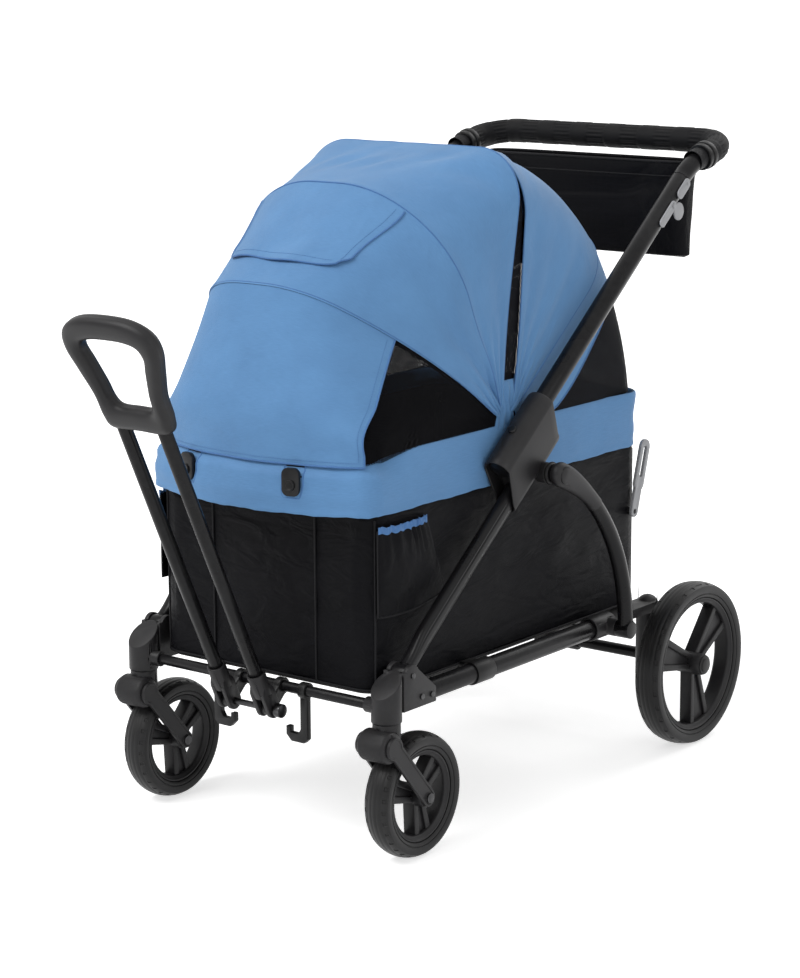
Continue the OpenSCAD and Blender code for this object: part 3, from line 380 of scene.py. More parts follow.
rubber = hardMaterial("rubber", {
    **hardLook, "fineness": 600, "dark": (0.009, 0.0088, 0.0093), "light": (0.014, 0.0138, 0.0145),
    "worn": (0.04, 0.04, 0.04), "wear": 0.4, "dust": 0.05, "rough": 0.42, "gloss": 0.24, "relief": 0.15})
foam = hardMaterial("foam", {
    **hardLook, "fineness": 1500, "dark": (0.007, 0.007, 0.008), "light": (0.011, 0.011, 0.012),
    "worn": (0.04, 0.04, 0.04), "rough": 0.6, "gloss": 0.11, "relief": 0.35})
board = hardMaterial("board", {
    **hardLook, "fineness": 300, "dark": (0.03, 0.028, 0.026), "light": (0.05, 0.047, 0.044),
    "worn": (0.1, 0.09, 0.08), "wear": 0.2, "dust": 0.1, "rough": 0.7, "gloss": 0.3, "relief": 0.2})
print("materials made")


# modelling helpers

def onlySelect(*pieces):
    bpy.ops.object.select_all(action="DESELECT")
    for piece in pieces:
        piece.select_set(True)
    bpy.context.view_layer.objects.active = pieces[0]


def added(name, operator, **settings):
    # a new primitive, with nothing else selected
    bpy.ops.object.select_all(action="DESELECT")
    operator(**settings)
    piece = bpy.context.object
    piece.name = piece.data.name = name
    return piece


def onPicked(*steps):
    # runs edit-mode operators on what is already picked
    bpy.ops.object.mode_set(mode="EDIT")
    for operator, settings in steps:
        operator(**settings)
    bpy.ops.object.mode_set(mode="OBJECT")


def inEdit(piece, *steps):
    # runs edit-mode operators on the whole of a piece
    onlySelect(piece)
    onPicked((bpy.ops.mesh.select_all, {"action": "SELECT"}), *steps)


def merge(distance):
    return bpy.ops.mesh.remove_doubles, {"threshold": distance / 1000}


def outward(piece, *first):
    # faces turned outwards, after any other steps
    inEdit(piece, *first, (bpy.ops.mesh.normals_make_consistent, {"inside": False}))


def selectNone(piece, kind):
    # clears the selection, ready to pick faces or edges in code
    onlySelect(piece)
    onPicked((bpy.ops.mesh.select_mode, {"type": kind}), (bpy.ops.mesh.select_all, {"action": "DESELECT"}))


def applyModifier(piece, kind, **settings):
    onlySelect(piece)
    modifier = piece.modifiers.new(kind.lower(), kind)
    for key, value in settings.items():
        setattr(modifier, key, value)
    bpy.ops.object.modifier_apply(modifier=modifier.name)


def roundEdges(piece, width, segments=2, angle=40, clamp=True):
    applyModifier(piece, "BEVEL", width=width / 1000, segments=segments, limit_method="ANGLE",
                  angle_limit=math.radians(angle), use_clamp_overlap=clamp)


def smooth(piece, angle):
    onlySelect(piece)
    bpy.ops.object.shade_smooth_by_angle(angle=math.radians(angle))


def dress(piece, body, slotName, material, *nodes):
    piece.data.materials.clear()
    piece.data.materials.append(material)
    if body:
        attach(piece, body)
    if nodes:
        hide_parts(*nodes)
    return piece


def fromPoints(name, points, faces, edges=()):
    shape = bpy.data.meshes.new(name)
    shape.from_pydata([tuple(p) for p in points], list(edges), faces)
    piece = bpy.data.objects.new(name, shape)
    scene.collection.objects.link(piece)
    return piece


def newSheet(name, columns, rows, pointAt, flat, facing, closed=False):
    # a grid laid along pointAt(u, v), with a UV map in metres
    piece = added(name, bpy.ops.mesh.primitive_grid_add, x_subdivisions=columns, y_subdivisions=rows, size=1,
                  calc_uvs=True)
    for layer in piece.data.uv_layers.active.data:
        layer.uv = (layer.uv[0] * flat[0], layer.uv[1] * flat[1])
    for vertex in piece.data.vertices:
        vertex.co = pointAt(vertex.co.x + 0.5, vertex.co.y + 0.5)
    if closed:
        inEdit(piece, merge(0.1))
    piece.data.update()
    middle = piece.data.polygons[len(piece.data.polygons) // 2]
    if middle.normal.dot(Vector(facing)) < 0:
        inEdit(piece, (bpy.ops.mesh.flip_normals, {}))
    smooth(piece, 60)
    return piece


def loopSheet(name, loops, flat, facing):
    # a closed sheet through loops of points, each loop a list of Vectors
    count, rows = len(loops[0]), len(loops) - 1

    def pointAt(u, v):
        return loops[round(v * rows)][round(u * count) % count]

    return newSheet(name, count, rows, pointAt, flat, facing, closed=True)


def clothArea(piece):
    return sum(face.area for face in piece.data.polygons)


def thicken(piece, thickness, angle=60):
    applyModifier(piece, "SOLIDIFY", thickness=thickness / 1000, offset=-1, use_even_offset=False)
    smooth(piece, angle)
    return piece


def pipe(name, points, radius, closed=False, sides=3):
    # a round cord along points, as a mesh
    bpy.ops.object.select_all(action="DESELECT")
    line = bpy.data.curves.new(name, "CURVE")
    line.dimensions = "3D"
    run = line.splines.new("POLY")
    run.points.add(len(points) - 1)
    for spot, point in zip(run.points, points):
        spot.co = (*point, 1)
    run.use_cyclic_u = closed
    line.bevel_depth = radius / 1000
    line.bevel_resolution = sides
    line.use_fill_caps = not closed
    piece = bpy.data.objects.new(name, line)
    scene.collection.objects.link(piece)
    onlySelect(piece)
    bpy.ops.object.convert(target="MESH")
    piece = bpy.context.object
    piece.name = piece.data.name = name
    smooth(piece, 50)
    return piece


def joined(name, pieces):
    onlySelect(*pieces)
    bpy.ops.object.join()
    piece = bpy.context.object
    piece.name = piece.data.name = name
    return piece


def alongLine(points, step):
    # points at equal steps along a line
    spots, left = [points[0]], step
    for a, b in zip(points, points[1:]):
        length = (b - a).length
        done = 0
        while length - done >= left:
            done += left
            spots.append(a.lerp(b, done / length))
            left = step
        left -= length - done
    return spots


def stitchRow(name, points, pitch=4.2, length=2.8, width=0.7):
    # short bars of thread, end to end along a seam
    corners, faces = [], []
    spots = alongLine(points, pitch / 1000)
    for a, b in zip(spots, spots[1:]):
        run = (b - a).normalized()
        side = run.orthogonal().normalized()
        lift = run.cross(side)
        middle, half = (a + b) / 2, length / 2000
        first = len(corners)
        for end in (-half, half):
            for turn in range(4):
                angle = math.pi * turn / 2
                around = side * math.cos(angle) + lift * math.sin(angle)
                corners.append(middle + run * end + around * width / 2000)
        for k in range(4):
            n = (k + 1) % 4
            faces.append((first + k, first + n, first + 4 + n, first + 4 + k))
        faces.append(tuple(first + k for k in (3, 2, 1, 0)))
        faces.append(tuple(first + 4 + k for k in range(4)))
    return fromPoints(name, corners, faces)


def mirrored(piece, name):
    # a copy with its own mesh, on the other side of the wagon
    copy = fromPoints(name, [], [])
    copy.data = piece.data.copy()
    copy.data.name = name
    copy.data.transform(Matrix.Scale(-1, 4, Vector((1, 0, 0))))
    copy.data.flip_normals()
    return copy


def dressBoth(near, farName, body, slotName, material):
    # a right piece and its mirror image, dressed alike
    pair = (near, mirrored(near, farName))
    for piece in pair:
        dress(piece, body, slotName, material)
    return pair


def softCopy(node, name, bevel):
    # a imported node's shape with its edges rounded
    piece = fromPoints(name, [], [])
    piece.data = frame["nodes"][node].data.copy()
    piece.data.name = name
    inEdit(piece, merge(0.01), (bpy.ops.mesh.dissolve_limited, {"angle_limit": math.radians(0.4)}))
    if bevel:
        roundEdges(piece, bevel, angle=30, clamp=False)
    smooth(piece, 40)
    return piece


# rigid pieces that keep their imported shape, with rounded edges

roundedNodes = {
    "tube": {"slot": "black_tube", "material": tubePaint, "bevel": 0.6, "nodes": [
        "side_rail_left", "side_rail_right", "front_cross_tube", "rear_axle", "front_legs", "push_tubes",
        "rear_arches", "rim_frame", "pull_tubes"]},
    "moulded": {"slot": "charcoal_plastic", "material": moulding, "bevel": 1.2, "nodes": [
        "front_bracket_left", "front_bracket_right", "rear_bracket_left", "rear_bracket_right",
        "brake_pedal", "pull_yokes", "rear_posts_lower", "rear_posts_upper"]},
    "black": {"slot": "charcoal_plastic", "material": blackMoulding, "bevel": 0.8, "nodes": [
        "rail_collars", "pull_mount", "sleeve_buttons", "push_collars"]},
    "grey": {"slot": "grey_plastic", "material": greyMoulding, "bevel": 0.8, "nodes": [
        "trigger_left", "trigger_right", "trigger_plates", "fold_lever_left", "fold_lever_right"]},
    "bare": {"slot": "steel", "material": steel, "bevel": 0.5, "nodes": [
        "chassis_bolts", "front_axle_left", "front_axle_right", "pull_pin"]},
    "bow": {"slot": "black_tube", "material": tubePaint, "bevel": 0.3, "nodes": [
        "mid_bows", "front_bow_two", "front_bow_three", "rear_bow"]}}


def addRigid():
    for kind, look in roundedNodes.items():
        for node in look["nodes"]:
            piece = softCopy(node, kind + "_" + node, look["bevel"])
            dress(piece, body_of(frame["nodes"][node])[0], look["slot"], look["material"], node)
    boardNode = frame["nodes"]["floor_board"]
    boardNode.data.materials.clear()
    boardNode.data.materials.append(board)


addRigid()
print("rigid pieces rounded")


# wheels

wheels = {
    "front": {"radius": 100, "width": 47, "x": legX, "y": 0},
    "rear": {"radius": 145, "width": 48, "x": 280, "y": 770}}
tyre = {"height": 26, "steps": 96, "crown": 0.4, "merge": 0.05,
        # side wall from its bead: out from the bead's radius, and in from the tyre's side
        "side": [(0, 7), (0.5, 4.5), (3, 2.6), (5.2, 2.2), (5.8, 3.2), (6.6, 3.2), (7.4, 1.6), (11, 0.5)],
        # tread: in from the tyre's side, then out from its middle, each with the groove's depth
        "tread": [(3, 0), (6, 0), (9, 0), (10, 0.4), (11.6, 0.4), (12.6, 0)],
        "treadMiddle": [(6, 0), (4.8, 0.4), (3.6, 0.4), (2.6, 0)],
        "notchIn": 6.5, "notchHalf": 2.6, "notchFrom": 0.9, "notchEvery": 3, "notchEdge": 0.6,
        "notchDepth": 1.0}


def wheelCentre(size):
    return at(size["x"], size["y"], size["radius"])


def spun(name, outline, centre, steps, mergeWithin=0.02):
    # a closed outline of (radius, offset) spun about the X axis
    piece = added(name, bpy.ops.mesh.primitive_circle_add, vertices=len(outline), radius=0.01)
    for vertex, (r, x) in zip(piece.data.vertices, outline):
        vertex.co = centre + Vector((x / 1000, 0, r / 1000))
    outward(piece,
            (bpy.ops.mesh.spin, {"steps": steps, "angle": 2 * math.pi, "center": centre, "axis": (1, 0, 0)}),
            (bpy.ops.mesh.select_all, {"action": "SELECT"}),
            merge(mergeWithin))
    return piece


def turned(name, outline, centre, steps):
    piece = spun(name, outline, centre, steps)
    smooth(piece, 40)
    return piece


def tyreOutline(radius, width):
    # half the tyre's section, from its bead over the shoulder to the tread's middle, as (radius, offset)
    half = width / 2
    inner = radius - tyre["height"]
    crownRadius = radius * tyre["crown"]
    crownAt = radius - crownRadius

    def onCrown(offset):
        return crownAt + math.sqrt(crownRadius ** 2 - offset ** 2)

    shoulder = onCrown(half)
    side = [(inner + out, half - back) for out, back in tyre["side"]]
    side += [(shoulder - 3, half - 0.2), (shoulder, half - 0.8)]
    tread = [(half - back, drop) for back, drop in tyre["tread"]] + tyre["treadMiddle"]
    return side + [(onCrown(offset) - drop, offset) for offset, drop in tread]


def dressWheel(near, kind, name, part, slotName, material):
    # the right wheel's piece and its mirror image on the left wheel
    far = mirrored(near, kind + name + "Left")
    for piece, side in ((near, "_right"), (far, "_left")):
        dress(piece, kind + "_wheel" + side, slotName, material, kind + part + side)


def addTyre(kind, size):
    half = tyreOutline(size["radius"], size["width"])
    outline = half + [(r, -x) for r, x in reversed(half)]
    centre = wheelCentre(size)
    near = spun(kind + "TyreRight", outline, centre, tyre["steps"], tyre["merge"])
    # notches across both shoulders
    selectNone(near, "FACE")
    shoulder = (size["width"] / 2 - tyre["notchIn"]) / 1000
    for face in near.data.polygons:
        off = face.center - centre
        step = math.floor(math.atan2(off.y, off.z) / (2 * math.pi) * tyre["steps"] + 0.5)
        outside = math.hypot(off.y, off.z) > size["radius"] / 1000 * tyre["notchFrom"]
        onShoulder = outside and abs(abs(off.x) - shoulder) < tyre["notchHalf"] / 1000
        face.select = onShoulder and step % tyre["notchEvery"] == 0
    onPicked((bpy.ops.mesh.inset, {"thickness": tyre["notchEdge"] / 1000,
                                   "depth": -tyre["notchDepth"] / 1000, "use_individual": False}))
    smooth(near, 32)
    dressWheel(near, kind, "Tyre", "_tyre", "tyre", rubber)


for kind, size in wheels.items():
    addTyre(kind, size)
print("tyres made")

# ring, hub and three spokes of two ribs with a sunk web between them
rims = {
    "front": {"ring": 74, "width": 35, "hub": 17, "hubFrom": -26.7, "hubTo": 26.7, "bore": 5.3},
    "rear": {"ring": 119, "width": 36, "hub": 20, "hubFrom": -31.7, "hubTo": 30, "bore": 6.3},
    # the ring's section: in from its radius, and out from its half width
    "section": [(0, -1), (1.5, 0.6), (3.6, 0.4), (5, -1.6), (8.5, -3), (10, -4.6), (10.4, -9)]}
spoke = {"count": 3, "turn": -50, "end": 8, "width": 9.5, "flare": 1.25, "foot": 8.5, "spread": 12.5,
         "ribFrom": 0.55, "webFrom": 0.6, "depth": 0.66, "webDepth": 7, "ribRound": 1.6, "webRound": 0.5}


def bar(name, corners, depth, bevel):
    # a slab over four corners of the (Y, Z) plane, as deep to both sides along X
    piece = added(name, bpy.ops.mesh.primitive_cube_add, size=1)
    for vertex in piece.data.vertices:
        x, y, z = vertex.co
        corner = corners[(0 if y < 0 else 1) if z < 0 else (3 if y < 0 else 2)]
        vertex.co = Vector((math.copysign(depth, x), *corner)) / 1000
    roundEdges(piece, bevel, 3, 30)
    smooth(piece, 40)
    return piece


def addRim(kind, size, look):
    centre = wheelCentre(size)
    ring, half = look["ring"], look["width"] / 2
    section = [(ring - back, half + out) for back, out in rims["section"]]
    outline = section + [(r, -x) for r, x in reversed(section)]
    pieces = [turned("ring", outline, centre, 96)]
    hub, low, high = look["hub"], look["hubFrom"], look["hubTo"]
    barrel = [(look["bore"], low), (hub - 3, low), (hub - 1, low + 2), (hub - 0.4, -half * 0.7), (hub, 0),
              (hub - 0.4, half * 0.7), (hub - 1.5, high - 2), (hub - 3, high), (look["bore"], high)]
    pieces.append(turned("hub", barrel, centre, 48))
    depth = half * spoke["depth"]
    spread = math.radians(spoke["spread"])
    end = ring - spoke["end"]
    reach = end * math.sin(spread)
    foot, wide = spoke["foot"], spoke["width"] / 2
    tipWide = wide * spoke["flare"]
    for number in range(spoke["count"]):
        slabs = []
        for side in (-1, 1):
            low, high = hub * spoke["ribFrom"], end * math.cos(spread)
            corners = [(side * foot - wide, low), (side * foot + wide, low),
                       (side * reach + tipWide, high), (side * reach - tipWide, high)]
            slabs.append(bar("rib", corners, depth, spoke["ribRound"]))
        low = hub * spoke["webFrom"]
        corners = [(-foot, low), (foot, low), (reach, end), (-reach, end)]
        slabs.append(bar("web", corners, spoke["webDepth"], spoke["webRound"]))
        angle = math.radians(spoke["turn"] + 360 / spoke["count"] * number)
        for slab in slabs:
            slab.data.transform(Matrix.Rotation(angle, 4, "X"))
            slab.data.transform(Matrix.Translation(centre))
        pieces += slabs
    dressWheel(joined(kind + "RimRight", pieces), kind, "Rim", "_rim", "charcoal_plastic", moulding)


for kind, size in wheels.items():
    addRim(kind, size, rims[kind])


def addHubCaps():
    face = rims["rear"]["hubTo"]
    outline = [(0.01, face - 1), (17, face - 1), (17.4, face + 1), (16.6, face + 2.6), (14.2, face + 3),
               (13.4, face + 3.6), (12.8, face + 5.2), (11, face + 6), (0.01, face + 6)]
    near = turned("hubCapRight", outline, wheelCentre(wheels["rear"]), 48)
    far = mirrored(near, "hubCapLeft")
    for cap, node in ((near, "rear_hub_cap_right"), (far, "rear_hub_cap_left")):
        dress(cap, body_of(frame["nodes"][node])[0], "charcoal_plastic", blackMoulding, node)


addHubCaps()
print("rims made")


# casters

caster = {"pivotY": -84, "pivotZ": 199, "barrel": 25, "end": 27, "round": 7, "edge": 1.2,
          "border": 3.5, "slope": 0.8, "sunk": 1.1, "armEdge": 1.1}


def addCrown(side, sign):
    # the barrel's ends are well rounded
    piece = softCopy("caster_crown_" + side, "crown_" + side, 0)
    pivot = at(sign * legX, caster["pivotY"], caster["pivotZ"])
    selectNone(piece, "EDGE")
    for edge in piece.data.edges:
        ends = [piece.data.vertices[k].co - pivot for k in edge.vertices]
        onEnd = all(abs(abs(p.x) * 1000 - caster["end"]) < 0.2 for p in ends)
        onRim = all(abs(math.hypot(p.y, p.z) * 1000 - caster["barrel"]) < 0.3 for p in ends)
        edge.select = onEnd and onRim
    onPicked((bpy.ops.mesh.bevel, {"offset": caster["round"] / 1000, "segments": 5}))
    roundEdges(piece, caster["edge"], clamp=False)
    smooth(piece, 45)
    dress(piece, "caster_" + side, "charcoal_plastic", moulding, "caster_crown_" + side)


def addArm(side, sign):
    # plates with a raised border round a sunk face
    piece = softCopy("swing_arm_" + side, "arm_" + side, 0)
    outer = max(abs(v.co.x * 1000 - sign * legX) for v in piece.data.vertices)
    selectNone(piece, "FACE")
    for face in piece.data.polygons:
        flat = abs(face.normal.x) > 0.99
        face.select = flat and abs(abs(face.center.x * 1000 - sign * legX) - outer) < 0.2
    onPicked((bpy.ops.mesh.inset, {"thickness": caster["border"] / 1000, "depth": 0}),
             (bpy.ops.mesh.inset, {"thickness": caster["slope"] / 1000, "depth": -caster["sunk"] / 1000}))
    roundEdges(piece, caster["armEdge"], angle=55, clamp=False)
    smooth(piece, 40)
    dress(piece, "arm_" + side, "charcoal_plastic", moulding, "swing_arm_" + side)


for side, sign in (("right", 1), ("left", -1)):
    addCrown(side, sign)
    addArm(side, sign)
print("casters made")


# sleeves on the legs

legLine = {"y": -25, "z": 300, "slope": 38.5}
sleeve = {"push": -59, "pushRadius": 25, "legRadius": 17, "pushFrom": 366, "legFrom": 348, "pushTo": 522,
          "legTo": 508, "swell": 0.3, "pushSteps": 28, "legSteps": 20, "rows": 12,
          # lower lip from deep inside, then upper edge: each in from the outline, and moved along
          "lip": [(3.6, 26), (3.6, 1.5), (2.4, 0.2), (0.8, 0.2), (0, 1.6)],
          "topEdge": [(0, -4), (1.0, -1.2), (3.2, 0)],
          "bossAt": (19.07, 440.4), "bossFrom": 262, "bossTo": 285.8, "bossRadius": 17}
# the leg's flat oval tube, and the round way of the push tube
legCover = {"half": 11.2, "high": 15.5, "across": -4.0, "from": 14, "to": 502, "groove": 0.9, "square": 0.75,
            "roundTo": 20, "ovalBy": 60}
pushWay = {"half": 16, "high": 16, "across": sleeve["push"], "groove": 0.0, "square": 1.0}
grooves = {"at": 0.42, "width": 0.09}
boreMargin = 0.6


def legPoint(x, across, along):
    # across is square to the leg, along runs up it from its pivot
    slope = math.radians(legLine["slope"])
    y = legLine["y"] + along * math.cos(slope) + across * math.sin(slope)
    z = legLine["z"] + along * math.sin(slope) - across * math.cos(slope)
    return at(x, y, z)


def sleeveSection(inset):
    # outline round both tubes, as (x, across)
    lean = math.asin((sleeve["pushRadius"] - sleeve["legRadius"]) / abs(sleeve["push"]))
    lobes = ((sleeve["push"], sleeve["pushRadius"], sleeve["pushSteps"], -lean, -math.pi + lean),
             (0, sleeve["legRadius"], sleeve["legSteps"], math.pi + lean, -lean))
    points = []
    for middle, radius, steps, start, end in lobes:
        for k in range(steps + 1):
            turn = mix(start, end, k / steps)
            points.append(((radius - inset) * math.cos(turn), middle + (radius - inset) * math.sin(turn)))
    return points


def tubePoint(u, along, look, margin=0.0):
    # a tube along the leg's line: half width, half height, where it lies, and how square it is
    spin = 2 * math.pi * u
    cx = math.copysign(abs(math.cos(spin)) ** look["square"], math.cos(spin))
    cy = math.copysign(abs(math.sin(spin)) ** look["square"], math.sin(spin))
    groove = 0.0
    if not margin:
        groove = look["groove"] * math.exp(-((abs(cy) - grooves["at"]) / grooves["width"]) ** 2)
    x = (look["half"] + margin) * abs(cx) - groove
    return legPoint(legX + math.copysign(x, cx), look["across"] + (look["high"] + margin) * cy, along)


def bore(shell, look):
    # a clear way through the sleeve
    low, high = sleeve["legFrom"] - 20, sleeve["pushTo"] + 20

    def wayPoint(u, v):
        return tubePoint(u, mix(low, high, v), look, boreMargin)

    cutter = newSheet("cutter", 64, 2, wayPoint, (0.1, 0.2), (0, 0, 0), closed=True)
    outward(cutter, (bpy.ops.mesh.fill_holes, {"sides": 0}))
    applyModifier(shell, "BOOLEAN", object=cutter, operation="DIFFERENCE", solver="EXACT")
    bpy.data.objects.remove(cutter)


def sleeveLoop(inset, low, high, t, closing=1.0):
    # one outline at t along the sleeve, its ends moved by low and high; closing 0 draws it to a line
    spots = []
    for k, (x, across) in enumerate(sleeveSection(inset)):
        lobe = sleeve["push"] if k <= sleeve["pushSteps"] else 0.0
        x, across = x * closing, mix(lobe, across, closing)
        share = min(1, max(0, (across - sleeve["push"]) / -sleeve["push"]))
        start = mix(sleeve["pushFrom"], sleeve["legFrom"], share) + low
        end = mix(sleeve["pushTo"], sleeve["legTo"], share) + high
        spots.append(legPoint(legX + x, across, mix(start, end, t)))
    return spots


def addSleeves():
    rows = sleeve["rows"]
    inset, low = sleeve["lip"][0]
    loops = [sleeveLoop(inset, low, 0, 0, 0.0)]
    for inset, low in sleeve["lip"]:
        loops.append(sleeveLoop(inset, low, 0, 0))
    for k in range(1, rows):
        loops.append(sleeveLoop(-sleeve["swell"] * math.sin(math.pi * k / rows), 3, -5, k / rows))
    for inset, high in sleeve["topEdge"]:
        loops.append(sleeveLoop(inset, 0, high, 1))
    loops.append(sleeveLoop(inset, 0, high, 1, 0.0))
    shell = loopSheet("sleeveShell", loops, (0.3, 0.17), (0, 0, 0))
    outward(shell, merge(0.05))
    bore(shell, legCover)
    bore(shell, pushWay)
    smooth(shell, 40)
    boss = legPoint(0, *sleeve["bossAt"])
    r, start, end = sleeve["bossRadius"], sleeve["bossFrom"], sleeve["bossTo"]
    collar = [(0.01, start), (r, start), (r, end - 8), (r - 1.5, end - 6.5), (r - 1.5, end - 5),
              (r, end - 4), (r, end - 1.2), (r - 1.2, end), (0.01, end)]
    near = joined("sleeveRight", [shell, turned("boss", collar, boss, 40)])
    dressBoth(near, "sleeveLeft", "sleeves", "charcoal_plastic", moulding)
    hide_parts("hub_sleeves")
    washer = [(r - 2, end - 4.4), (r + 1.6, end - 4.4), (r + 2, end - 3.4), (r + 2, end - 2.4),
              (r + 1.6, end - 1.4), (r - 2, end - 1.4)]
    ring = turned("sleeveWasherRight", washer, boss, 40)
    dressBoth(ring, "sleeveWasherLeft", "sleeves", "charcoal_plastic", blackMoulding)


addSleeves()

# the flat upper end of the arched leg
elbow = {"x": 301.2, "y": 204.5, "z": 260, "radius": 325, "from": 71.0, "to": 46.0, "wide": 20.5,
         "thick": 14.7, "tube": 13.4, "blunt": 0.16, "flatTo": 0.2, "narrowBy": 0.75}


def elbowPoint(u, v):
    # down the arched leg from a rounded end, flat and wide at first
    turn = math.radians(mix(elbow["from"], elbow["to"], v))
    blunt = math.sqrt(1 - (1 - min(1, v / elbow["blunt"])) ** 2)
    narrow = ease((v - elbow["flatTo"]) / elbow["narrowBy"])
    wide = mix(elbow["wide"], elbow["tube"], narrow) * blunt
    thick = mix(elbow["thick"], elbow["tube"], narrow) * blunt
    spin = 2 * math.pi * u
    r = elbow["radius"] + wide * math.cos(spin)
    x = elbow["x"] + thick * math.sin(spin)
    return at(x, elbow["y"] + r * math.cos(turn), elbow["z"] + r * math.sin(turn))


def addElbows():
    near = newSheet("archElbowRight", 40, 48, elbowPoint, (0.1, 0.11), (0, 0, 0), closed=True)
    outward(near, merge(0.02))
    smooth(near, 60)
    dressBoth(near, "archElbowLeft", "arches", "charcoal_plastic", moulding)


addElbows()


def legCoverPoint(u, v):
    # round at its foot, then a flat oval with long grooves
    along = mix(legCover["from"], legCover["to"], v)
    grown = ease((along - legCover["roundTo"]) / legCover["ovalBy"])
    look = dict(legCover)
    look["across"] = legCover["across"] * grown
    look["high"] = mix(legCover["half"], legCover["high"], grown)
    look["groove"] = legCover["groove"] * grown
    return tubePoint(u, along, look)


def addLegCovers():
    near = newSheet("legCoverRight", 96, 120, legCoverPoint, (0.09, 0.47), (0, 0, 0), closed=True)
    outward(near, (bpy.ops.mesh.fill_holes, {"sides": 0}))
    smooth(near, 50)
    dressBoth(near, "legCoverLeft", "legs", "black_tube", tubePaint)


addLegCovers()
print("sleeves made")


# canopies

canopy = {"pivotY": 285, "pivotZ": 640, "half": 221.9, "foot": 25, "crown": 20, "grow": 7.0, "cloth": 1.2,
          "netting": 0.6,
          # each hoop: lean in degrees, reach, corner radius, and how far its sides lean in
          "mid": (5.2, 430, 80, 0), "back": (10.6, 432, 100, 0), "two": (-23.8, 417, 190, 0),
          "three": (-55, 424, 130, 35), "rear": (52, 448, 150, 0), "front": (-90, 397, 110, 0),
          "tail": (90, 398, 48, 0)}
canopyHub = at(0, canopy["pivotY"], canopy["pivotZ"])


def hoopShape(hoop, u, lift):
    # x and reach of a point on a hoop, u from -1 at the far foot to 1 at the near foot
    more = canopy["grow"] + lift
    half, reach, corner, turn = canopy["half"] + lift, hoop[1] + more, hoop[2] + more, math.radians(hoop[3])
    crown, sideRadius, sideTop = half - corner, 0.0, reach - corner
    if turn:
        crown = canopy["crown"]
        sideRadius = (half - crown - corner * math.cos(turn)) / (1 - math.cos(turn))
        sideTop = reach - sideRadius * math.sin(turn) - corner * (1 - math.sin(turn))
    parts = (crown, corner * (math.pi / 2 - turn), sideRadius * turn, sideTop - canopy["foot"])
    run = abs(u) * sum(parts)
    if run < parts[0]:
        x, h = run, reach
    elif run < parts[0] + parts[1]:
        angle = math.pi / 2 - (run - parts[0]) / corner
        x, h = crown + corner * math.cos(angle), reach - corner * (1 - math.sin(angle))
    elif run < sum(parts[:3]):
        angle = turn - (run - parts[0] - parts[1]) / sideRadius
        x, h = half - sideRadius * (1 - math.cos(angle)), sideTop + sideRadius * math.sin(angle)
    else:
        x, h = half, sideTop - (run - sum(parts[:3]))
    return math.copysign(x, u), h


def leanPoint(x, h, lean):
    angle = math.radians(lean)
    return at(x, canopy["pivotY"] + h * math.sin(angle), canopy["pivotZ"] + h * math.cos(angle))


def spanPoint(first, second, u, t, fullness=0.0, lift=0.0):
    # between two hoops: straight at fullness 0, round at 1
    a, b = canopy[first], canopy[second]
    one, two = hoopShape(a, u, lift), hoopShape(b, u, lift)
    straight = leanPoint(*one, a[0]).lerp(leanPoint(*two, b[0]), t)
    full = leanPoint(mix(one[0], two[0], t), mix(one[1], two[1], t), mix(a[0], b[0], t))
    return straight.lerp(full, fullness)


def outFrom(point, distance):
    # away from the hub, in millimetres
    return point + (point - canopyHub).normalized() * distance / 1000


pulls = {"crown": 6.0, "crownHalf": 0.42, "crownAt": 0.16, "crownDepth": 0.1, "side": 4.5, "sideFrom": 0.3}
slit = {"gap": 24, "cover": 11, "from": 0.3, "to": 0.9, "fade": 0.6, "behind": -3.0, "meshShare": 1.3}
pleat = {"depth": 4.0, "from": 0.62, "end": 0.97, "front": 7, "rear": 5}


def wrinkle(u, v):
    # pulls in the cloth: short ones over the crown, long ones down the sides
    onCrown = math.exp(-(u / pulls["crownHalf"]) ** 2)
    onCrown *= math.exp(-((v - pulls["crownAt"]) / pulls["crownDepth"]) ** 2)
    onSide = ease((abs(u) - pulls["sideFrom"]) / 0.3) * math.sin(math.pi * v)
    short = math.sin(44 * u + 20 * v + 2 * math.sin(9 * u))
    long = math.sin(22 * v + 5 * abs(u) + 2 * math.sin(7 * u))
    uneven = 0.5 + noise.noise(Vector((4 * u, 5 * v, 2)))
    return (pulls["crown"] * onCrown * short + pulls["side"] * onSide * long) * uneven


def slitShift(u, t):
    # the slit's edges nearly meet over the crown and part towards their feet
    parted = ease((abs(u) - slit["from"]) / (slit["to"] - slit["from"]))
    return (slit["gap"] * parted - slit["cover"]) * (1 - ease(t / slit["fade"]))


def pleats(u, t, count):
    # folds that gather towards the hub, as a push outwards
    near = ease((abs(u) - pleat["from"]) / (1 - pleat["from"])) * (1 - ease((abs(u) - pleat["end"]) / 0.05))
    return math.copysign(pleat["depth"] * near * math.sin(count * math.pi * t + 0.6), u)


def ridgeAt(v, place, width):
    return math.exp(-((v - place) / width) ** 2)


# places along the front canopy from the slit's edge: second bow, leading edge, hem and stitches
frontSeams = {"bow": 0.47, "edge": 0.985, "hem": 0.075, "ridge": 1.3, "hemRise": 0.8, "slack": 0.8,
              "piping": (0.47, 0.992), "hemPiping": 0.004, "stitches": (0.08, 0.455, 0.485, 0.972)}
frontBlend = {"across": Vector((0, -0.921, -0.39)), "reach": 0.15}      # square to the second bow, midway


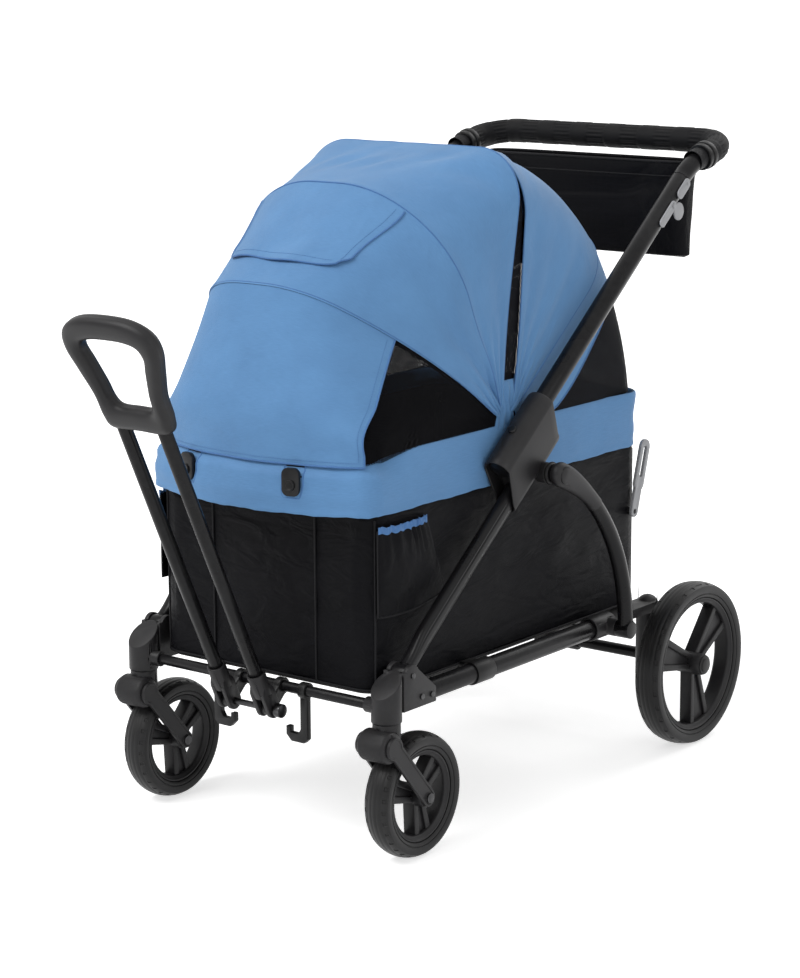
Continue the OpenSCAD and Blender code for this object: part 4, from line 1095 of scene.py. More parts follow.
def frontTop(u, v):
    u = 2 * u - 1
    if v < frontSeams["bow"]:
        t = v / frontSeams["bow"]
        point = spanPoint("mid", "two", u, t, -0.12)
    else:
        t = (v - frontSeams["bow"]) / (1 - frontSeams["bow"])
        point = spanPoint("two", "three", u, t, -0.1)
    ridge = ridgeAt(v, frontSeams["bow"], 0.018) + ridgeAt(v, frontSeams["edge"], 0.02)
    hollow = math.sin(math.pi * min(1, t)) * math.sin(5 * u + 2.2 * v) * math.sin(math.pi * v)
    hem = 1 - ease((v - frontSeams["hem"]) / 0.012)
    rise = frontSeams["ridge"] * ridge + frontSeams["slack"] * hollow + frontSeams["hemRise"] * hem
    point = outFrom(point, rise + wrinkle(u, v))
    return point + Vector((pleats(u, v, pleat["front"]), -slitShift(u, v), 0)) / 1000


def withFrontBow(piece):
    across = frontBlend["across"] * frontBlend["reach"]
    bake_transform(piece, "rim", "bow_three", start=canopyHub - across, end=canopyHub + across)


def addFrontCanopy():
    top = newSheet("frontCanopy", 120, 56, frontTop, (1.28, 0.46), (0, -0.3, 1))
    thicken(top, canopy["cloth"])
    dress(top, None, "blue_cloth", blueCloth, "front_canopy")
    withFrontBow(top)


addFrontCanopy()


def canopyLine(v, lift, low=0.01, high=0.99, count=150):
    # a line across the front canopy, a little proud of the cloth
    return [outFrom(frontTop(mix(low, high, k / count), v), lift) for k in range(count + 1)]


def addCanopySeams():
    seams = [pipe("seam", canopyLine(v, 0.4), 1.3) for v in frontSeams["piping"]]
    piping = joined("frontCanopyPiping", seams)
    hem = pipe("frontCanopyHem", canopyLine(frontSeams["hemPiping"], 0.2), 1.6)
    rows = [stitchRow("row", canopyLine(v, 0.25, 0.03, 0.97)) for v in frontSeams["stitches"]]
    stitches = joined("frontCanopyStitches", rows)
    for piece in (piping, hem, stitches):
        dress(piece, None, "blue_cloth", blueTrim)
        withFrontBow(piece)


addCanopySeams()

flap = {"lift": 2.6, "loose": 4.5, "top": 0.02, "bottom": 0.755, "half": 0.285, "low": 0.235, "corner": 0.03,
        "wave": 0.012, "binding": 1.6, "stitchIn": 0.045, "stitchLow": 0.92}


def flapPoint(u, v):
    u = 2 * u - 1
    edge = mix(flap["half"], flap["low"], ease(v / 0.85)) - flap["corner"] * ease((v - 0.84) / 0.16)
    wave = flap["wave"] * math.cos(1.6 * u * math.pi - 0.6) * ease((v - 0.6) / 0.4)
    t = mix(flap["top"], flap["bottom"] + wave - 0.07 * abs(u) ** 6, v)
    loose = flap["lift"] + flap["loose"] * ease((v - 0.7) / 0.3) * (0.6 + 0.4 * math.sin(7 * u))
    return spanPoint("two", "three", u * edge, t, -0.1, loose)


def openEdge(pointAt, across, down):
    # down one side of a sheet, along its hem and up the other side
    sides = [[pointAt(e, k / down) for k in range(down + 1)] for e in (0, 1)]
    hem = [pointAt(k / across, 1) for k in range(1, across)]
    return sides[0] + hem + list(reversed(sides[1]))


def addFlap():
    sheet = newSheet("canopyFlap", 60, 30, flapPoint, (0.42, 0.2), (0, -0.6, 1))
    thicken(sheet, canopy["cloth"])
    dress(sheet, None, "blue_cloth", blueCloth)
    withFrontBow(sheet)
    binding = pipe("flapBinding", openEdge(flapPoint, 40, 20), flap["binding"])
    rows = [[flapPoint(mix(0.06, 0.94, k / 60), flap["stitchLow"]) for k in range(61)]]
    for e in (flap["stitchIn"], 1 - flap["stitchIn"]):
        rows.append([flapPoint(e, mix(0.03, 0.9, k / 30)) for k in range(31)])
    raised = [[outFrom(point, 0.3) for point in row] for row in rows]
    stitches = joined("flapStitches", [stitchRow("row", row) for row in raised])
    for piece in (binding, stitches):
        dress(piece, None, "blue_cloth", blueTrim)
        withFrontBow(piece)


addFlap()

apron = {"overlap": 18, "topEdge": 0.49, "lowEdge": 0.415, "hemFrom": 0.9, "offBand": 3.2, "binding": 1.6,
         "ripple": 1.4, "hemRipple": 0.9, "stitchIn": 0.025, "stitchLow": 0.962}
window = {"farthest": 224, "offBand": 1.5, "bandHeight": 624, "onBandBefore": 60}
rimPlan = {"cornerX": 182, "rearCorner": 646, "frontCorner": -35, "corner": 30, "bow": 24.8}
rimPlan["bowRadius"] = (rimPlan["cornerX"] / math.sin(math.radians(rimPlan["bow"]))) + rimPlan["corner"]
rimPlan["bowY"] = rimPlan["frontCorner"] + (rimPlan["bowRadius"] - rimPlan["corner"]) * math.cos(
    math.radians(rimPlan["bow"]))
# the band leans in most at the front; rows run from the hem outside, over the top and down inside,
# each with its height and how far it lies behind the outer face
band = {"cloth": 1.4, "out": 14.4, "lean": 18, "leanFrom": 592, "leanBy": 60, "tuck": 0.9, "tuckFrom": 570,
        "tuckBy": 30, "dip": 16, "dipFrom": 596, "dipBy": 40, "tube": 11, "tubeTop": 604, "tubeBy": 14,
        "piping": 1.6, "sway": 0.5, "swayRows": range(4, 9), "hemSway": 0.7, "hemRows": range(4),
        "stitchRow": 3, "stitchOut": (1.0015, 1.0005),
        "rows": [(547.4, 0.3), (549, -0.2), (553, 0.1), (556, 0.7), (562, 0.2), (571, -0.6), (580, -0.6),
                 (592, 0), (604, 0), (616, 0), (626, 0.2), (634, 0.6), (638.2, 1.6), (639.4, 3.0),
                 (637.6, 4.4), (630, 4.9), (618, 4.9)]}
atFront = -100           # any place ahead of the band's front corners


def rimFrontY(x, off):
    # the rim's plan at the front, pushed out by off
    radius = rimPlan["bowRadius"] + off
    x = abs(x)
    if x <= radius * math.sin(math.radians(rimPlan["bow"])):
        return rimPlan["bowY"] - math.sqrt(radius ** 2 - x ** 2)
    corner = rimPlan["corner"] + off
    return rimPlan["frontCorner"] - math.sqrt(max(0, corner ** 2 - (x - rimPlan["cornerX"]) ** 2))


def bandLean(y):
    # the band leans in at the front, and a little along the sides
    return 0.15 + 0.85 * ease((40 - y) / 70) - 0.5 * ease((y - 560) / 100)


def bandDip(y):
    # its top edge is lower at the front
    return band["dip"] * ease((70 - y) / 150)


def bandOff(z, y):
    # how far the band stands out from the rim's line, never inside the rim tube
    leaning = band["lean"] * bandLean(y) * ease((z + bandDip(y) - band["leanFrom"]) / band["leanBy"])
    off = band["out"] - leaning - band["tuck"] * ease((z - band["tuckFrom"]) / band["tuckBy"])
    return max(off, band["tube"] - band["tube"] * ease((z - band["tubeTop"]) / band["tubeBy"]))


def apronEdge(t):
    return mix(apron["topEdge"], apron["lowEdge"], min(1, t))


def apronPoint(u, v):
    # from the leading bow down to a hem that hangs over the band
    u = 2 * u - 1
    t = min(1, v / apron["hemFrom"])
    point = spanPoint("three", "front", u * apronEdge(t), t, 0.06)
    drop = max(0, (v - apron["hemFrom"]) / 0.1) * apron["overlap"]
    low = ease((t - 0.6) / 0.4)
    x = point.x * 1000
    z = point.z * 1000 - drop
    onBand = at(x, rimFrontY(x, bandOff(z, atFront) + apron["offBand"]), z)
    point = point.lerp(Vector((point.x, onBand.y, point.z)), low)
    ripple = apron["ripple"] * math.sin(6.5 * u + 1) * math.sin(math.pi * t)
    ripple += apron["hemRipple"] * math.sin(11 * u) * ease((v - 0.85) / 0.15)
    return point + Vector((0, -ripple / 1000, -drop / 1000))


def windowPoint(u, v):
    # from the apron's edge to the hub, and from the leading bow to the band
    edge = apronEdge(v)
    point = spanPoint("three", "front", mix(edge, 1.0, u), v, 0.02)
    x = min(point.x * 1000, window["farthest"])
    low = ease((v - 0.6) / 0.4)
    if point.y < at(0, window["onBandBefore"], 0).y:
        off = bandOff(window["bandHeight"], atFront) + window["offBand"]
        onBand = at(0, rimFrontY(x, off), 0).y
        point = point.lerp(Vector((point.x, onBand, point.z)), low * (1 - ease(u / 0.6)))
    dip = bandDip((point.y - at(0, 0, 0).y) * 1000)
    return point - Vector((0, 0, dip * low / 1000))


def addApron():
    sheet = newSheet("canopyApron", 70, 40, apronPoint, (0.6, 0.42), (0, -1, 0.5))
    area = clothArea(sheet)
    thicken(sheet, canopy["cloth"])
    dress(sheet, "bow_three", "blue_cloth", blueCloth)
    binding = pipe("apronBinding", openEdge(apronPoint, 60, 30), apron["binding"])
    dress(binding, "bow_three", "blue_cloth", blueTrim)
    proud, sideProud = Vector((0, -0.0003, 0)), Vector((0, -0.0004, 0.0002))
    rows = [[apronPoint(mix(0.02, 0.98, k / 90), apron["stitchLow"]) + proud for k in range(91)]]
    for e in (apron["stitchIn"], 1 - apron["stitchIn"]):
        rows.append([apronPoint(e, mix(0.03, 0.96, k / 60)) + sideProud for k in range(61)])
    stitches = joined("apronStitches", [stitchRow("row", row) for row in rows])
    dress(stitches, "bow_three", "blue_cloth", blueTrim)
    near = newSheet("sideWindowRight", 40, 30, windowPoint, (0.36, 0.3), (1, -0.3, 0.2))
    area = clothArea(near)
    thicken(near, canopy["netting"])
    for sheet in dressBoth(near, "sideWindowLeft", "bow_three", "black_cloth", openNetting):
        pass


addApron()


# places along the rear canopy from the slit's edge
rearSeams = {"edge": 0.985, "hem": 0.13, "ridge": 1.3, "hemRise": 0.8, "piping": (0.006, 0.992),
             "stitches": (0.1, 0.9), "cord": 1.4}
skirt = {"width": 0.985, "depth": 0.28, "sideDepth": 0.62, "deepest": 0.95, "from": 0.4, "by": 0.38,
         "curve": 1.7}
rearBlend = {"canopy": 0.08, "below": 0.0738}      # metres, so both cloths move alike along the rear bow


def slitPoint(u, v):
    u = 2 * u - 1
    point = spanPoint("mid", "back", u, v, 0.0, slit["behind"])
    return point + Vector((0, (2 * v - 1) * slitShift(u, 0) * slit["meshShare"] / 1000, 0))


def rearTop(u, v):
    u = 2 * u - 1
    point = spanPoint("back", "rear", u, v, 0.7)
    hem = 1 - ease((v - rearSeams["hem"]) / 0.02)
    rise = rearSeams["ridge"] * ridgeAt(v, rearSeams["edge"], 0.02) + rearSeams["hemRise"] * hem
    point = outFrom(point, rise + wrinkle(u, v))
    return point + Vector((pleats(u, v, pleat["rear"]), slitShift(u, v), 0)) / 1000


def rearWindowPoint(u, v):
    return spanPoint("rear", "tail", 2 * u - 1, v, 0.8, -0.5)


def skirtPoint(u, v):
    # blue cloth that runs on below the rear bow, deepest at the sides
    u = (2 * u - 1) * skirt["width"]
    toSide = max(0, (abs(u) - skirt["from"]) / skirt["by"]) ** skirt["curve"]
    depth = min(skirt["deepest"], skirt["depth"] + skirt["sideDepth"] * toSide)
    return spanPoint("rear", "tail", u, v * depth, 0.8, 1.2)


def squareTo(first, second, reach):
    # across the middle between two hoops, towards the rear
    lean = math.radians((canopy[first][0] + canopy[second][0]) / 2)
    return Vector((0, math.cos(lean), -math.sin(lean))) * reach


def addSlit():
    strip = newSheet("slitMesh", 110, 6, slitPoint, (1.28, 0.05), (0, 0.1, 1))
    thicken(strip, canopy["netting"])
    dress(strip, "rim", "black_cloth", netting)


def addRearCanopy():
    across = squareTo("back", "rear", rearBlend["canopy"])
    panel = newSheet("rearCanopy", 110, 34, rearTop, (1.25, 0.3), (0, 0.4, 1))
    thicken(panel, canopy["cloth"])
    dress(panel, None, "blue_cloth", blueCloth, "rear_canopy")

    def line(v):
        return [outFrom(rearTop(mix(0.02, 0.98, k / 150), v), 0.3) for k in range(151)]

    seams = [pipe("seam", line(v), rearSeams["cord"]) for v in rearSeams["piping"]]
    piping = joined("rearCanopyPiping", seams)
    stitches = joined("rearCanopyStitches", [stitchRow("row", line(v)) for v in rearSeams["stitches"]])
    for piece in (piping, stitches):
        dress(piece, None, "blue_cloth", blueTrim)
    for piece in (panel, piping, stitches):
        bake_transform(piece, "rim", "bow_rear", start=canopyHub - across, end=canopyHub + across)


def addRearWindow():
    # netting down to the band, and the blue skirt over its upper part
    below = squareTo("rear", "tail", rearBlend["below"])
    net = newSheet("rearWindow", 100, 24, rearWindowPoint, (1.2, 0.3), (0, 1, 0.6))
    thicken(net, canopy["netting"])
    dress(net, None, "black_cloth", netting)
    cloth = newSheet("rearSkirt", 110, 20, skirtPoint, (1.2, 0.15), (0, 1, 0.6))
    thicken(cloth, canopy["cloth"])
    dress(cloth, None, "blue_cloth", blueCloth)
    hem = pipe("rearSkirtHem", [skirtPoint(k / 150, 0.995) for k in range(151)], rearSeams["cord"])
    dress(hem, None, "blue_cloth", blueTrim)
    for piece in (net, cloth, hem):
        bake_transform(piece, "rim", "bow_rear", start=canopyHub + below, end=canopyHub - below)


addSlit()
addRearCanopy()
addRearWindow()

boot = {"x": 221, "y": 288, "z": 668, "wide": 62, "tall": 86, "waist": 0.62, "swell": 5,
        "folds": (2.24, 1.4)}


def bootPoint(u, v):
    # crumpled cloth that closes the slit's foot
    y = boot["y"] + (u - 0.5) * boot["wide"] * mix(boot["waist"], 1, abs(2 * v - 1))
    z = boot["z"] + (v - 0.5) * boot["tall"]
    fold = boot["folds"][0] * math.sin(21 * u + 3 * v) + boot["folds"][1] * math.sin(13 * v + 5 * u)
    edge = math.sin(math.pi * u) ** 0.4 * math.sin(math.pi * v) ** 0.4
    return at(boot["x"] + (boot["swell"] + fold) * edge, y, z)


def addBoots():
    near = newSheet("hubBootRight", 40, 40, bootPoint, (0.06, 0.09), (1, 0, 0))
    thicken(near, canopy["cloth"])
    for sheet in dressBoth(near, "hubBootLeft", "rim", "blue_cloth", blueCloth):
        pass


addBoots()
print("canopies made")


# plan of a rounded basket or rim, with matching stations

stations = {"rear": 16, "corner": 9, "side": 48, "front": 20}


def halfPlan(cornerX, rearCorner, frontCorner, corner, bow=0.0, bowRadius=0.0):
    # from the middle of the rear to the middle of the front, as (x, y) on the near side
    points = []
    for k in range(stations["rear"]):
        points.append((cornerX * k / stations["rear"], rearCorner + corner))
    for k in range(stations["corner"]):
        turn = math.pi / 2 * (1 - k / stations["corner"])
        points.append((cornerX + corner * math.cos(turn), rearCorner + corner * math.sin(turn)))
    for k in range(stations["side"]):
        points.append((cornerX + corner, mix(rearCorner, frontCorner, k / stations["side"])))
    sweep = math.pi / 2 - math.radians(bow)
    for k in range(stations["corner"]):
        turn = sweep * k / stations["corner"]
        points.append((cornerX + corner * math.cos(turn), frontCorner - corner * math.sin(turn)))
    endX = cornerX + corner * math.sin(math.radians(bow))
    for k in range(stations["front"] + 1):
        x = endX * (1 - k / stations["front"])
        if bow:
            centre = frontCorner + (bowRadius - corner) * math.cos(math.radians(bow))
            points.append((x, centre - math.sqrt(bowRadius ** 2 - x ** 2)))
        else:
            points.append((x, frontCorner - corner))
    return points


def fullPlan(half):
    return half + [(-x, y) for x, y in reversed(half[1:-1])]


def rimLoop(off):
    return fullPlan(halfPlan(rimPlan["cornerX"], rimPlan["rearCorner"], rimPlan["frontCorner"],
                             rimPlan["corner"] + off, rimPlan["bow"], rimPlan["bowRadius"] + off))


basket = {"x": 222, "front": -52, "rear": 690, "corner": 36, "bottom": 264, "floor": 274.5, "top": 541,
          "cloth": 2.0, "rows": 26, "panelX": 105, "sideSwell": 2.2, "sidePull": 2.4, "frontSwell": 3.2,
          "frontPull": 2.0,
          # the wall turns in behind the band, over the rim: off the rim's line, height, share of its plan
          "turnIn": ((-3, 556, 0.35), (-11, 588, 0.9), (-10.6, 604, 1.0), (-6, 610.6, 1.0))}


def basketLoop(off):
    corner = basket["corner"] + off
    return fullPlan(halfPlan(basket["x"] - basket["corner"], basket["rear"] - basket["corner"],
                             basket["front"] + basket["corner"], corner))


# band of cloth round the rim

def addBand():
    loops = []
    for row, (z, behind) in enumerate(band["rows"]):
        loop = []
        for k, spot in enumerate(rimLoop(0)):
            height = z - bandDip(spot[1]) * ease((z - band["dipFrom"]) / band["dipBy"])
            off = bandOff(height, spot[1]) - behind
            sway = math.sin(k * 0.7) + 0.6 * math.sin(k * 1.9 + 1)
            if row in band["swayRows"]:
                off += band["sway"] * sway
            x, y = rimLoop(off)[k]
            loop.append(at(x, y, height + band["hemSway"] * sway * (row in band["hemRows"])))
        loops.append(loop)
    sheet = loopSheet("rimBand", loops, (2.3, 0.13), (0, -1, 0))
    thicken(sheet, band["cloth"])
    dress(sheet, "rim", "blue_cloth", blueCloth, "rim_band")
    hem = [p + Vector((0, 0, 0.001)) for p in loops[0]]
    piping = pipe("bandPiping", hem, band["piping"], closed=True)
    dress(piping, "rim", "blue_cloth", blueTrim)
    line = loops[band["stitchRow"]]
    outX, outY = band["stitchOut"]
    proud = [Vector((p.x * outX, p.y * outY, p.z)) for p in line + line[:1]]
    stitches = stitchRow("bandStitches", proud)
    dress(stitches, "rim", "blue_cloth", blueTrim)


addBand()

# snap clips: a tab with a button over a small window; out and back are off the rim's line
snap = {"x": 102, "z": 597, "width": 29, "height": 44, "corner": 10, "edge": 1.2, "out": 20, "back": 12,
        "button": 8.5, "buttonDepth": 6, "buttonOut": 20.6, "buttonDrop": 5, "lip": 1.8, "slope": 1.2,
        "sunk": 1.4, "margin": 3.0, "overTop": 1, "windowOut": 1.1, "windowCloth": 0.9, "binding": 1.6}


def onFront(side, across, z, off):
    # a point off the rim's line at the front, across from a tab's middle
    angle = side * math.asin(snap["x"] / rimPlan["bowRadius"]) + across / rimPlan["bowRadius"]
    r = (rimPlan["bowRadius"] + off) / 1000
    centre = at(0, rimPlan["bowY"], z)
    return Vector((r * math.sin(angle), centre.y - r * math.cos(angle), centre.z))


def addSnapWindow(side, name):
    half = snap["width"] / 2 + snap["margin"]
    low = snap["z"] - snap["height"] / 2 - snap["margin"]
    high = snap["z"] + snap["height"] / 2 + snap["overTop"]

    def patchPoint(u, v):
        narrow = 1 - 0.25 * (1 - v) ** 8
        z = mix(low, high, v)
        return onFront(side, mix(-half, half, u) * narrow, z, bandOff(z, atFront) + snap["windowOut"])

    patch = newSheet("snapWindow" + name, 8, 16, patchPoint, (0.034, 0.045), (0, -1, 0))
    thicken(patch, snap["windowCloth"])
    dress(patch, "rim", "black_cloth", blackTrim)
    edge = [patchPoint(0, 1 - k / 16) for k in range(17)] + [patchPoint(k / 10, 0) for k in range(1, 11)]
    edge += [patchPoint(1, k / 16) for k in range(1, 17)]
    binding = pipe("snapBinding" + name, edge, snap["binding"])
    dress(binding, "rim", "blue_cloth", blueTrim)


def snapTab(side):
    # a plate with round corners
    tab = added("tab", bpy.ops.mesh.primitive_cube_add, size=1)
    for vertex in tab.data.vertices:
        x, y, z = vertex.co
        off = snap["out"] if y < 0 else snap["back"]
        vertex.co = onFront(side, x * snap["width"], snap["z"] + z * snap["height"], off)
    selectNone(tab, "EDGE")
    for edge in tab.data.edges:
        one, two = (tab.data.vertices[k].co for k in edge.vertices)
        edge.select = abs(one.z - two.z) < 0.001 and (one - two).length < 0.0095      # the four short ones
    onPicked((bpy.ops.mesh.bevel, {"offset": snap["corner"] / 1000, "segments": 6}))
    roundEdges(tab, snap["edge"])
    smooth(tab, 40)
    return tab


def snapButton(side):
    # a round button with a sunk face, tipped up with the band
    button = added("button", bpy.ops.mesh.primitive_cylinder_add, vertices=32, radius=snap["button"] / 1000,
                   depth=snap["buttonDepth"] / 1000)
    selectNone(button, "FACE")
    for face in button.data.polygons:
        face.select = face.normal.z > 0.9
    onPicked((bpy.ops.mesh.inset, {"thickness": snap["lip"] / 1000, "depth": 0}),
             (bpy.ops.mesh.inset, {"thickness": snap["slope"] / 1000, "depth": -snap["sunk"] / 1000}))
    roundEdges(button, 0.6)
    smooth(button, 40)
    facing = onFront(side, 0, snap["z"], 10) - onFront(side, 0, snap["z"], 0) + Vector((0, 0, 0.002))
    place = onFront(side, 0, snap["z"] - snap["buttonDrop"], snap["buttonOut"])
    button.data.transform(facing.normalized().to_track_quat("Z", "Y").to_matrix().to_4x4())
    button.data.transform(Matrix.Translation(place))
    return button


def addSnaps():
    for side, name in ((1, "Right"), (-1, "Left")):
        addSnapWindow(side, name)
        clip = joined("snapTab" + name, [snapTab(side), snapButton(side)])
        dress(clip, "rim", "charcoal_plastic", blackMoulding)
        if side > 0:
            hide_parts("front_clips")


addSnaps()


def wallPoint(x, y, z, t):
    # the wall at t up its height: pulled in and out by the cloth's weight on its sides and front
    held = math.sin(math.pi * t) ** 0.5
    pull = noise.noise(Vector((x * 0.012 + 5, y * 0.012, z * 0.02)))
    pull += 0.6 * noise.noise(Vector((x * 0.03, y * 0.03 + 9, z * 0.035)))
    if abs(abs(x) - basket["x"]) < 0.5:
        along = (y - basket["front"]) / (basket["rear"] - basket["front"])
        swell = math.sin(math.pi * t) * abs(math.sin(2 * math.pi * along))
        x += math.copysign(basket["sideSwell"] * swell + basket["sidePull"] * pull * held, x)
    elif y < basket["front"] + 0.5:
        panel = abs(math.sin(math.pi * (x + basket["panelX"]) / (2 * basket["panelX"])))
        y -= basket["frontSwell"] * math.sin(math.pi * t) ** 0.7 * panel + basket["frontPull"] * pull * held
    return at(x, y, z)


def addBasket():
    plan = basketLoop(0)
    middleY = (basket["front"] + basket["rear"]) / 2
    loops = []
    for share in (0.0, 0.25, 0.5, 0.75, 0.93):
        onEdge = 1 if share > 0.9 else 0.97
        loops.append([at(x * share, mix(middleY, y, onEdge), basket["floor"]) for x, y in plan])
    loops.append([at(x, y, basket["floor"] + 0.6) for x, y in basketLoop(-6)])
    loops.append([at(x, y, basket["bottom"] + 5.5) for x, y in basketLoop(-1.2)])
    for row in range(basket["rows"] + 1):
        t = row / basket["rows"]
        z = mix(basket["bottom"] + 10, basket["top"], t)
        loops.append([wallPoint(x, y, z, t) for x, y in plan])
    for off, z, share in basket["turnIn"]:
        top = rimLoop(off)
        loops.append([at(mix(a[0], b[0], share), mix(a[1], b[1], share), z) for a, b in zip(plan, top)])
    sheet = loopSheet("basketCloth", loops, (1.8, 0.75), (0, 0, 0))
    outward(sheet)
    area = clothArea(sheet)
    thicken(sheet, basket["cloth"])
    dress(sheet, "chassis", "black_cloth", blackCloth, "basket_fabric")
    return sheet, area


basketCloth, basketArea = addBasket()


def withFold(piece):
    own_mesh(piece)


withFold(basketCloth)
min(basketArea, 1.85 * 0.75)


basketSeams = {"panel": 1.7, "corner": 1.9, "hem": 2.2, "frontCorner": (213.5, -41),
               "rearCorner": (211.5, 679.5)}


def addBasketSeams():
    seams = []
    for x in (-basket["panelX"], basket["panelX"]):
        line = [at(x, basket["front"] - 1.2, z) for z in range(270, 541, 10)]
        seams.append(pipe("seam", line, basketSeams["panel"]))
    for side in (-1, 1):
        for x, y in (basketSeams["frontCorner"], basketSeams["rearCorner"]):
            corner = [at(side * x, y, z) for z in range(268, 541, 10)]
            seams.append(pipe("seam", corner, basketSeams["corner"]))
    hem = [at(x, y, basket["bottom"] + 5) for x, y in basketLoop(0.4)]
    seams.append(pipe("seam", hem, basketSeams["hem"], closed=True))
    piping = joined("basketPiping", seams)
    dress(piping, "chassis", "black_cloth", blackTrim)
    withFold(piping)


addBasketSeams()
print("band and basket made")


# side pockets

pocket = {"front": -47, "rear": 118, "bottom": 388, "top": 524, "wall": 223.4, "depth": 17, "rearDepth": 12,
          "clear": 240.5, "lean": (6, -42), "rise": 12, "sag": 8, "gather": 2.6, "slack": (2.2, 1.8),
          "cloth": 1.6, "binding": 1.5, "ruffle": 1.6, "trimHeight": 11, "trimBelow": 5, "trimCloth": 1.2}


def pocketPoint(u, v):
    # u along the wagon, v up the pocket; the rear edge leans
    rear = pocket["rear"] + mix(*pocket["lean"], v)
    y = mix(pocket["front"], rear, u)
    low = pocket["bottom"] + pocket["rise"] * u - pocket["sag"] * math.sin(math.pi * u)
    z = mix(low, pocket["top"], v) + 1.5 * math.sin(44 * u) * ease((v - 0.8) / 0.2)
    swell = math.sin(math.pi * u) ** 0.55 * (0.3 + 0.7 * ease(v / 0.35)) * (1 - 0.25 * ease((v - 0.8) / 0.2))
    gather = pocket["gather"] * math.sin(44 * u + 2 * math.sin(9 * u)) * ease((v - 0.45) / 0.55)
    slack = pocket["slack"][0] * math.sin(8 * u + 5 * v) + pocket["slack"][1] * math.sin(15 * u - 9 * v)
    depth = mix(pocket["depth"], pocket["rearDepth"], ease((u - 0.3) / 0.4 - 0.8 * (v - 0.5)))
    out = pocket["wall"] + depth * swell + max(-2.0, (gather + slack * (1 - v)) * swell)
    return at(min(pocket["clear"], out), y, z)


def trimPoint(u, v):
    # a ruffle along the pocket's mouth
    ruffle = pocket["ruffle"] * (1 + v * math.sin(88 * u))
    up = pocket["trimHeight"] * v - pocket["trimBelow"]
    return pocketPoint(u, 1.0) + Vector((ruffle, 0, up)) / 1000


def addPockets():
    near = newSheet("pocketRight", 110, 36, pocketPoint, (0.2, 0.15), (1, 0, 0))
    thicken(near, pocket["cloth"])
    for sheet in dressBoth(near, "pocketLeft", "chassis", "black_cloth", blackCloth):
        withFold(sheet)
    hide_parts("side_pockets")
    trim = newSheet("pocketTrimRight", 140, 6, trimPoint, (0.16, 0.012), (1, 0, 0))
    thicken(trim, pocket["trimCloth"])
    for sheet in dressBoth(trim, "pocketTrimLeft", "chassis", "blue_cloth", blueTrim):
        withFold(sheet)
    edge = [pocketPoint(0, 1 - k / 12) for k in range(13)] + [pocketPoint(k / 24, 0) for k in range(1, 25)]
    edge += [pocketPoint(1, k / 12) for k in range(1, 13)]
    binding = pipe("pocketBindingRight", edge, pocket["binding"])
    for cord in dressBoth(binding, "pocketBindingLeft", "chassis", "black_cloth", blackTrim):
        withFold(cord)


addPockets()


# seat pads

pads = {"x": 192, "corner": 40, "bottom": 276, "height": 19, "voxel": 6, "cap": 9, "inset": 5, "low": 2,
        "high": 3, "pressure": 4, "steps": 20, "sewnAt": 44, "sewnWidth": 5, "sewnDepth": 5.5,
        "sewnFrom": 12, "sewnBy": 8, "keep": 0.6, "front": (-22, 240), "rear": (380, 638)}


def addPad(name, start, end):
    pad = added(name, bpy.ops.mesh.primitive_cube_add, size=1)
    inset = pads["inset"]
    for vertex in pad.data.vertices:
        x = math.copysign(pads["x"] - inset, vertex.co.x)
        y = start + inset if vertex.co.y < 0 else end - inset
        z = pads["bottom"] + (pads["low"] if vertex.co.z < 0 else pads["height"] - pads["high"])
        vertex.co = at(x, y, z)
    selectNone(pad, "EDGE")
    for edge in pad.data.edges:
        one, two = (pad.data.vertices[k].co.z for k in edge.vertices)
        edge.select = abs(one - two) > 0.005        # the upright corners
    onPicked((bpy.ops.mesh.bevel, {"offset": (pads["corner"] - inset) / 1000, "segments": 8}))
    applyModifier(pad, "REMESH", mode="VOXEL", voxel_size=pads["voxel"] / 1000)
    before = [v.co.copy() for v in pad.data.vertices]
    # plumped from inside
    onlySelect(pad)
    cloth = pad.modifiers.new("cloth", "CLOTH")
    cloth.settings.use_pressure = True
    cloth.settings.uniform_pressure_force = pads["pressure"]
    cloth.settings.effector_weights.gravity = 0
    for step in range(1, pads["steps"] + 1):
        scene.frame_set(step)
    bpy.ops.object.modifier_apply(modifier=cloth.name)
    scene.frame_set(1)
    cap = pads["cap"] / 1000
    middle = at(0, (start + end) / 2, pads["bottom"])
    for vertex, old in zip(pad.data.vertices, before):
        move = vertex.co - old
        if move.length > cap:
            vertex.co = old + move.normalized() * cap
        # sewn channels across the pad, drawn down into the top
        offset = (vertex.co.y - middle.y) * 1000
        sewn = math.exp(-(((abs(offset) - pads["sewnAt"]) / pads["sewnWidth"]) ** 2))
        top = ease((vertex.co.z - middle.z - pads["sewnFrom"] / 1000) / (pads["sewnBy"] / 1000))
        vertex.co.z -= pads["sewnDepth"] / 1000 * sewn * top
        vertex.co.z = max(vertex.co.z, middle.z)
    applyModifier(pad, "SUBSURF", levels=1, render_levels=1)
    smooth(pad, 80)
    dress(pad, "chassis", "black_cloth", padCloth)
    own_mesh(pad)
    return pad


frontPad = addPad("frontSeatPad", *pads["front"])
addPad("rearSeatPad", *pads["rear"])
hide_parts("seat_pads")
print("pockets and pads made")


# push bar grip

grip = {"barY": 917.59, "barZ": 1050.82, "tilt": 12.0, "straight": 18, "corner": 60, "radius": 21.9,
        "bore": 16.2, "block": 36, "ribs": 18, "ribDepth": 0.55, "ribDrop": 0.5, "ribFade": 3,
        "seam": 0.9, "seamWidth": 2.2, "straightSteps": 6, "cornerSteps": 20, "barSteps": 130}


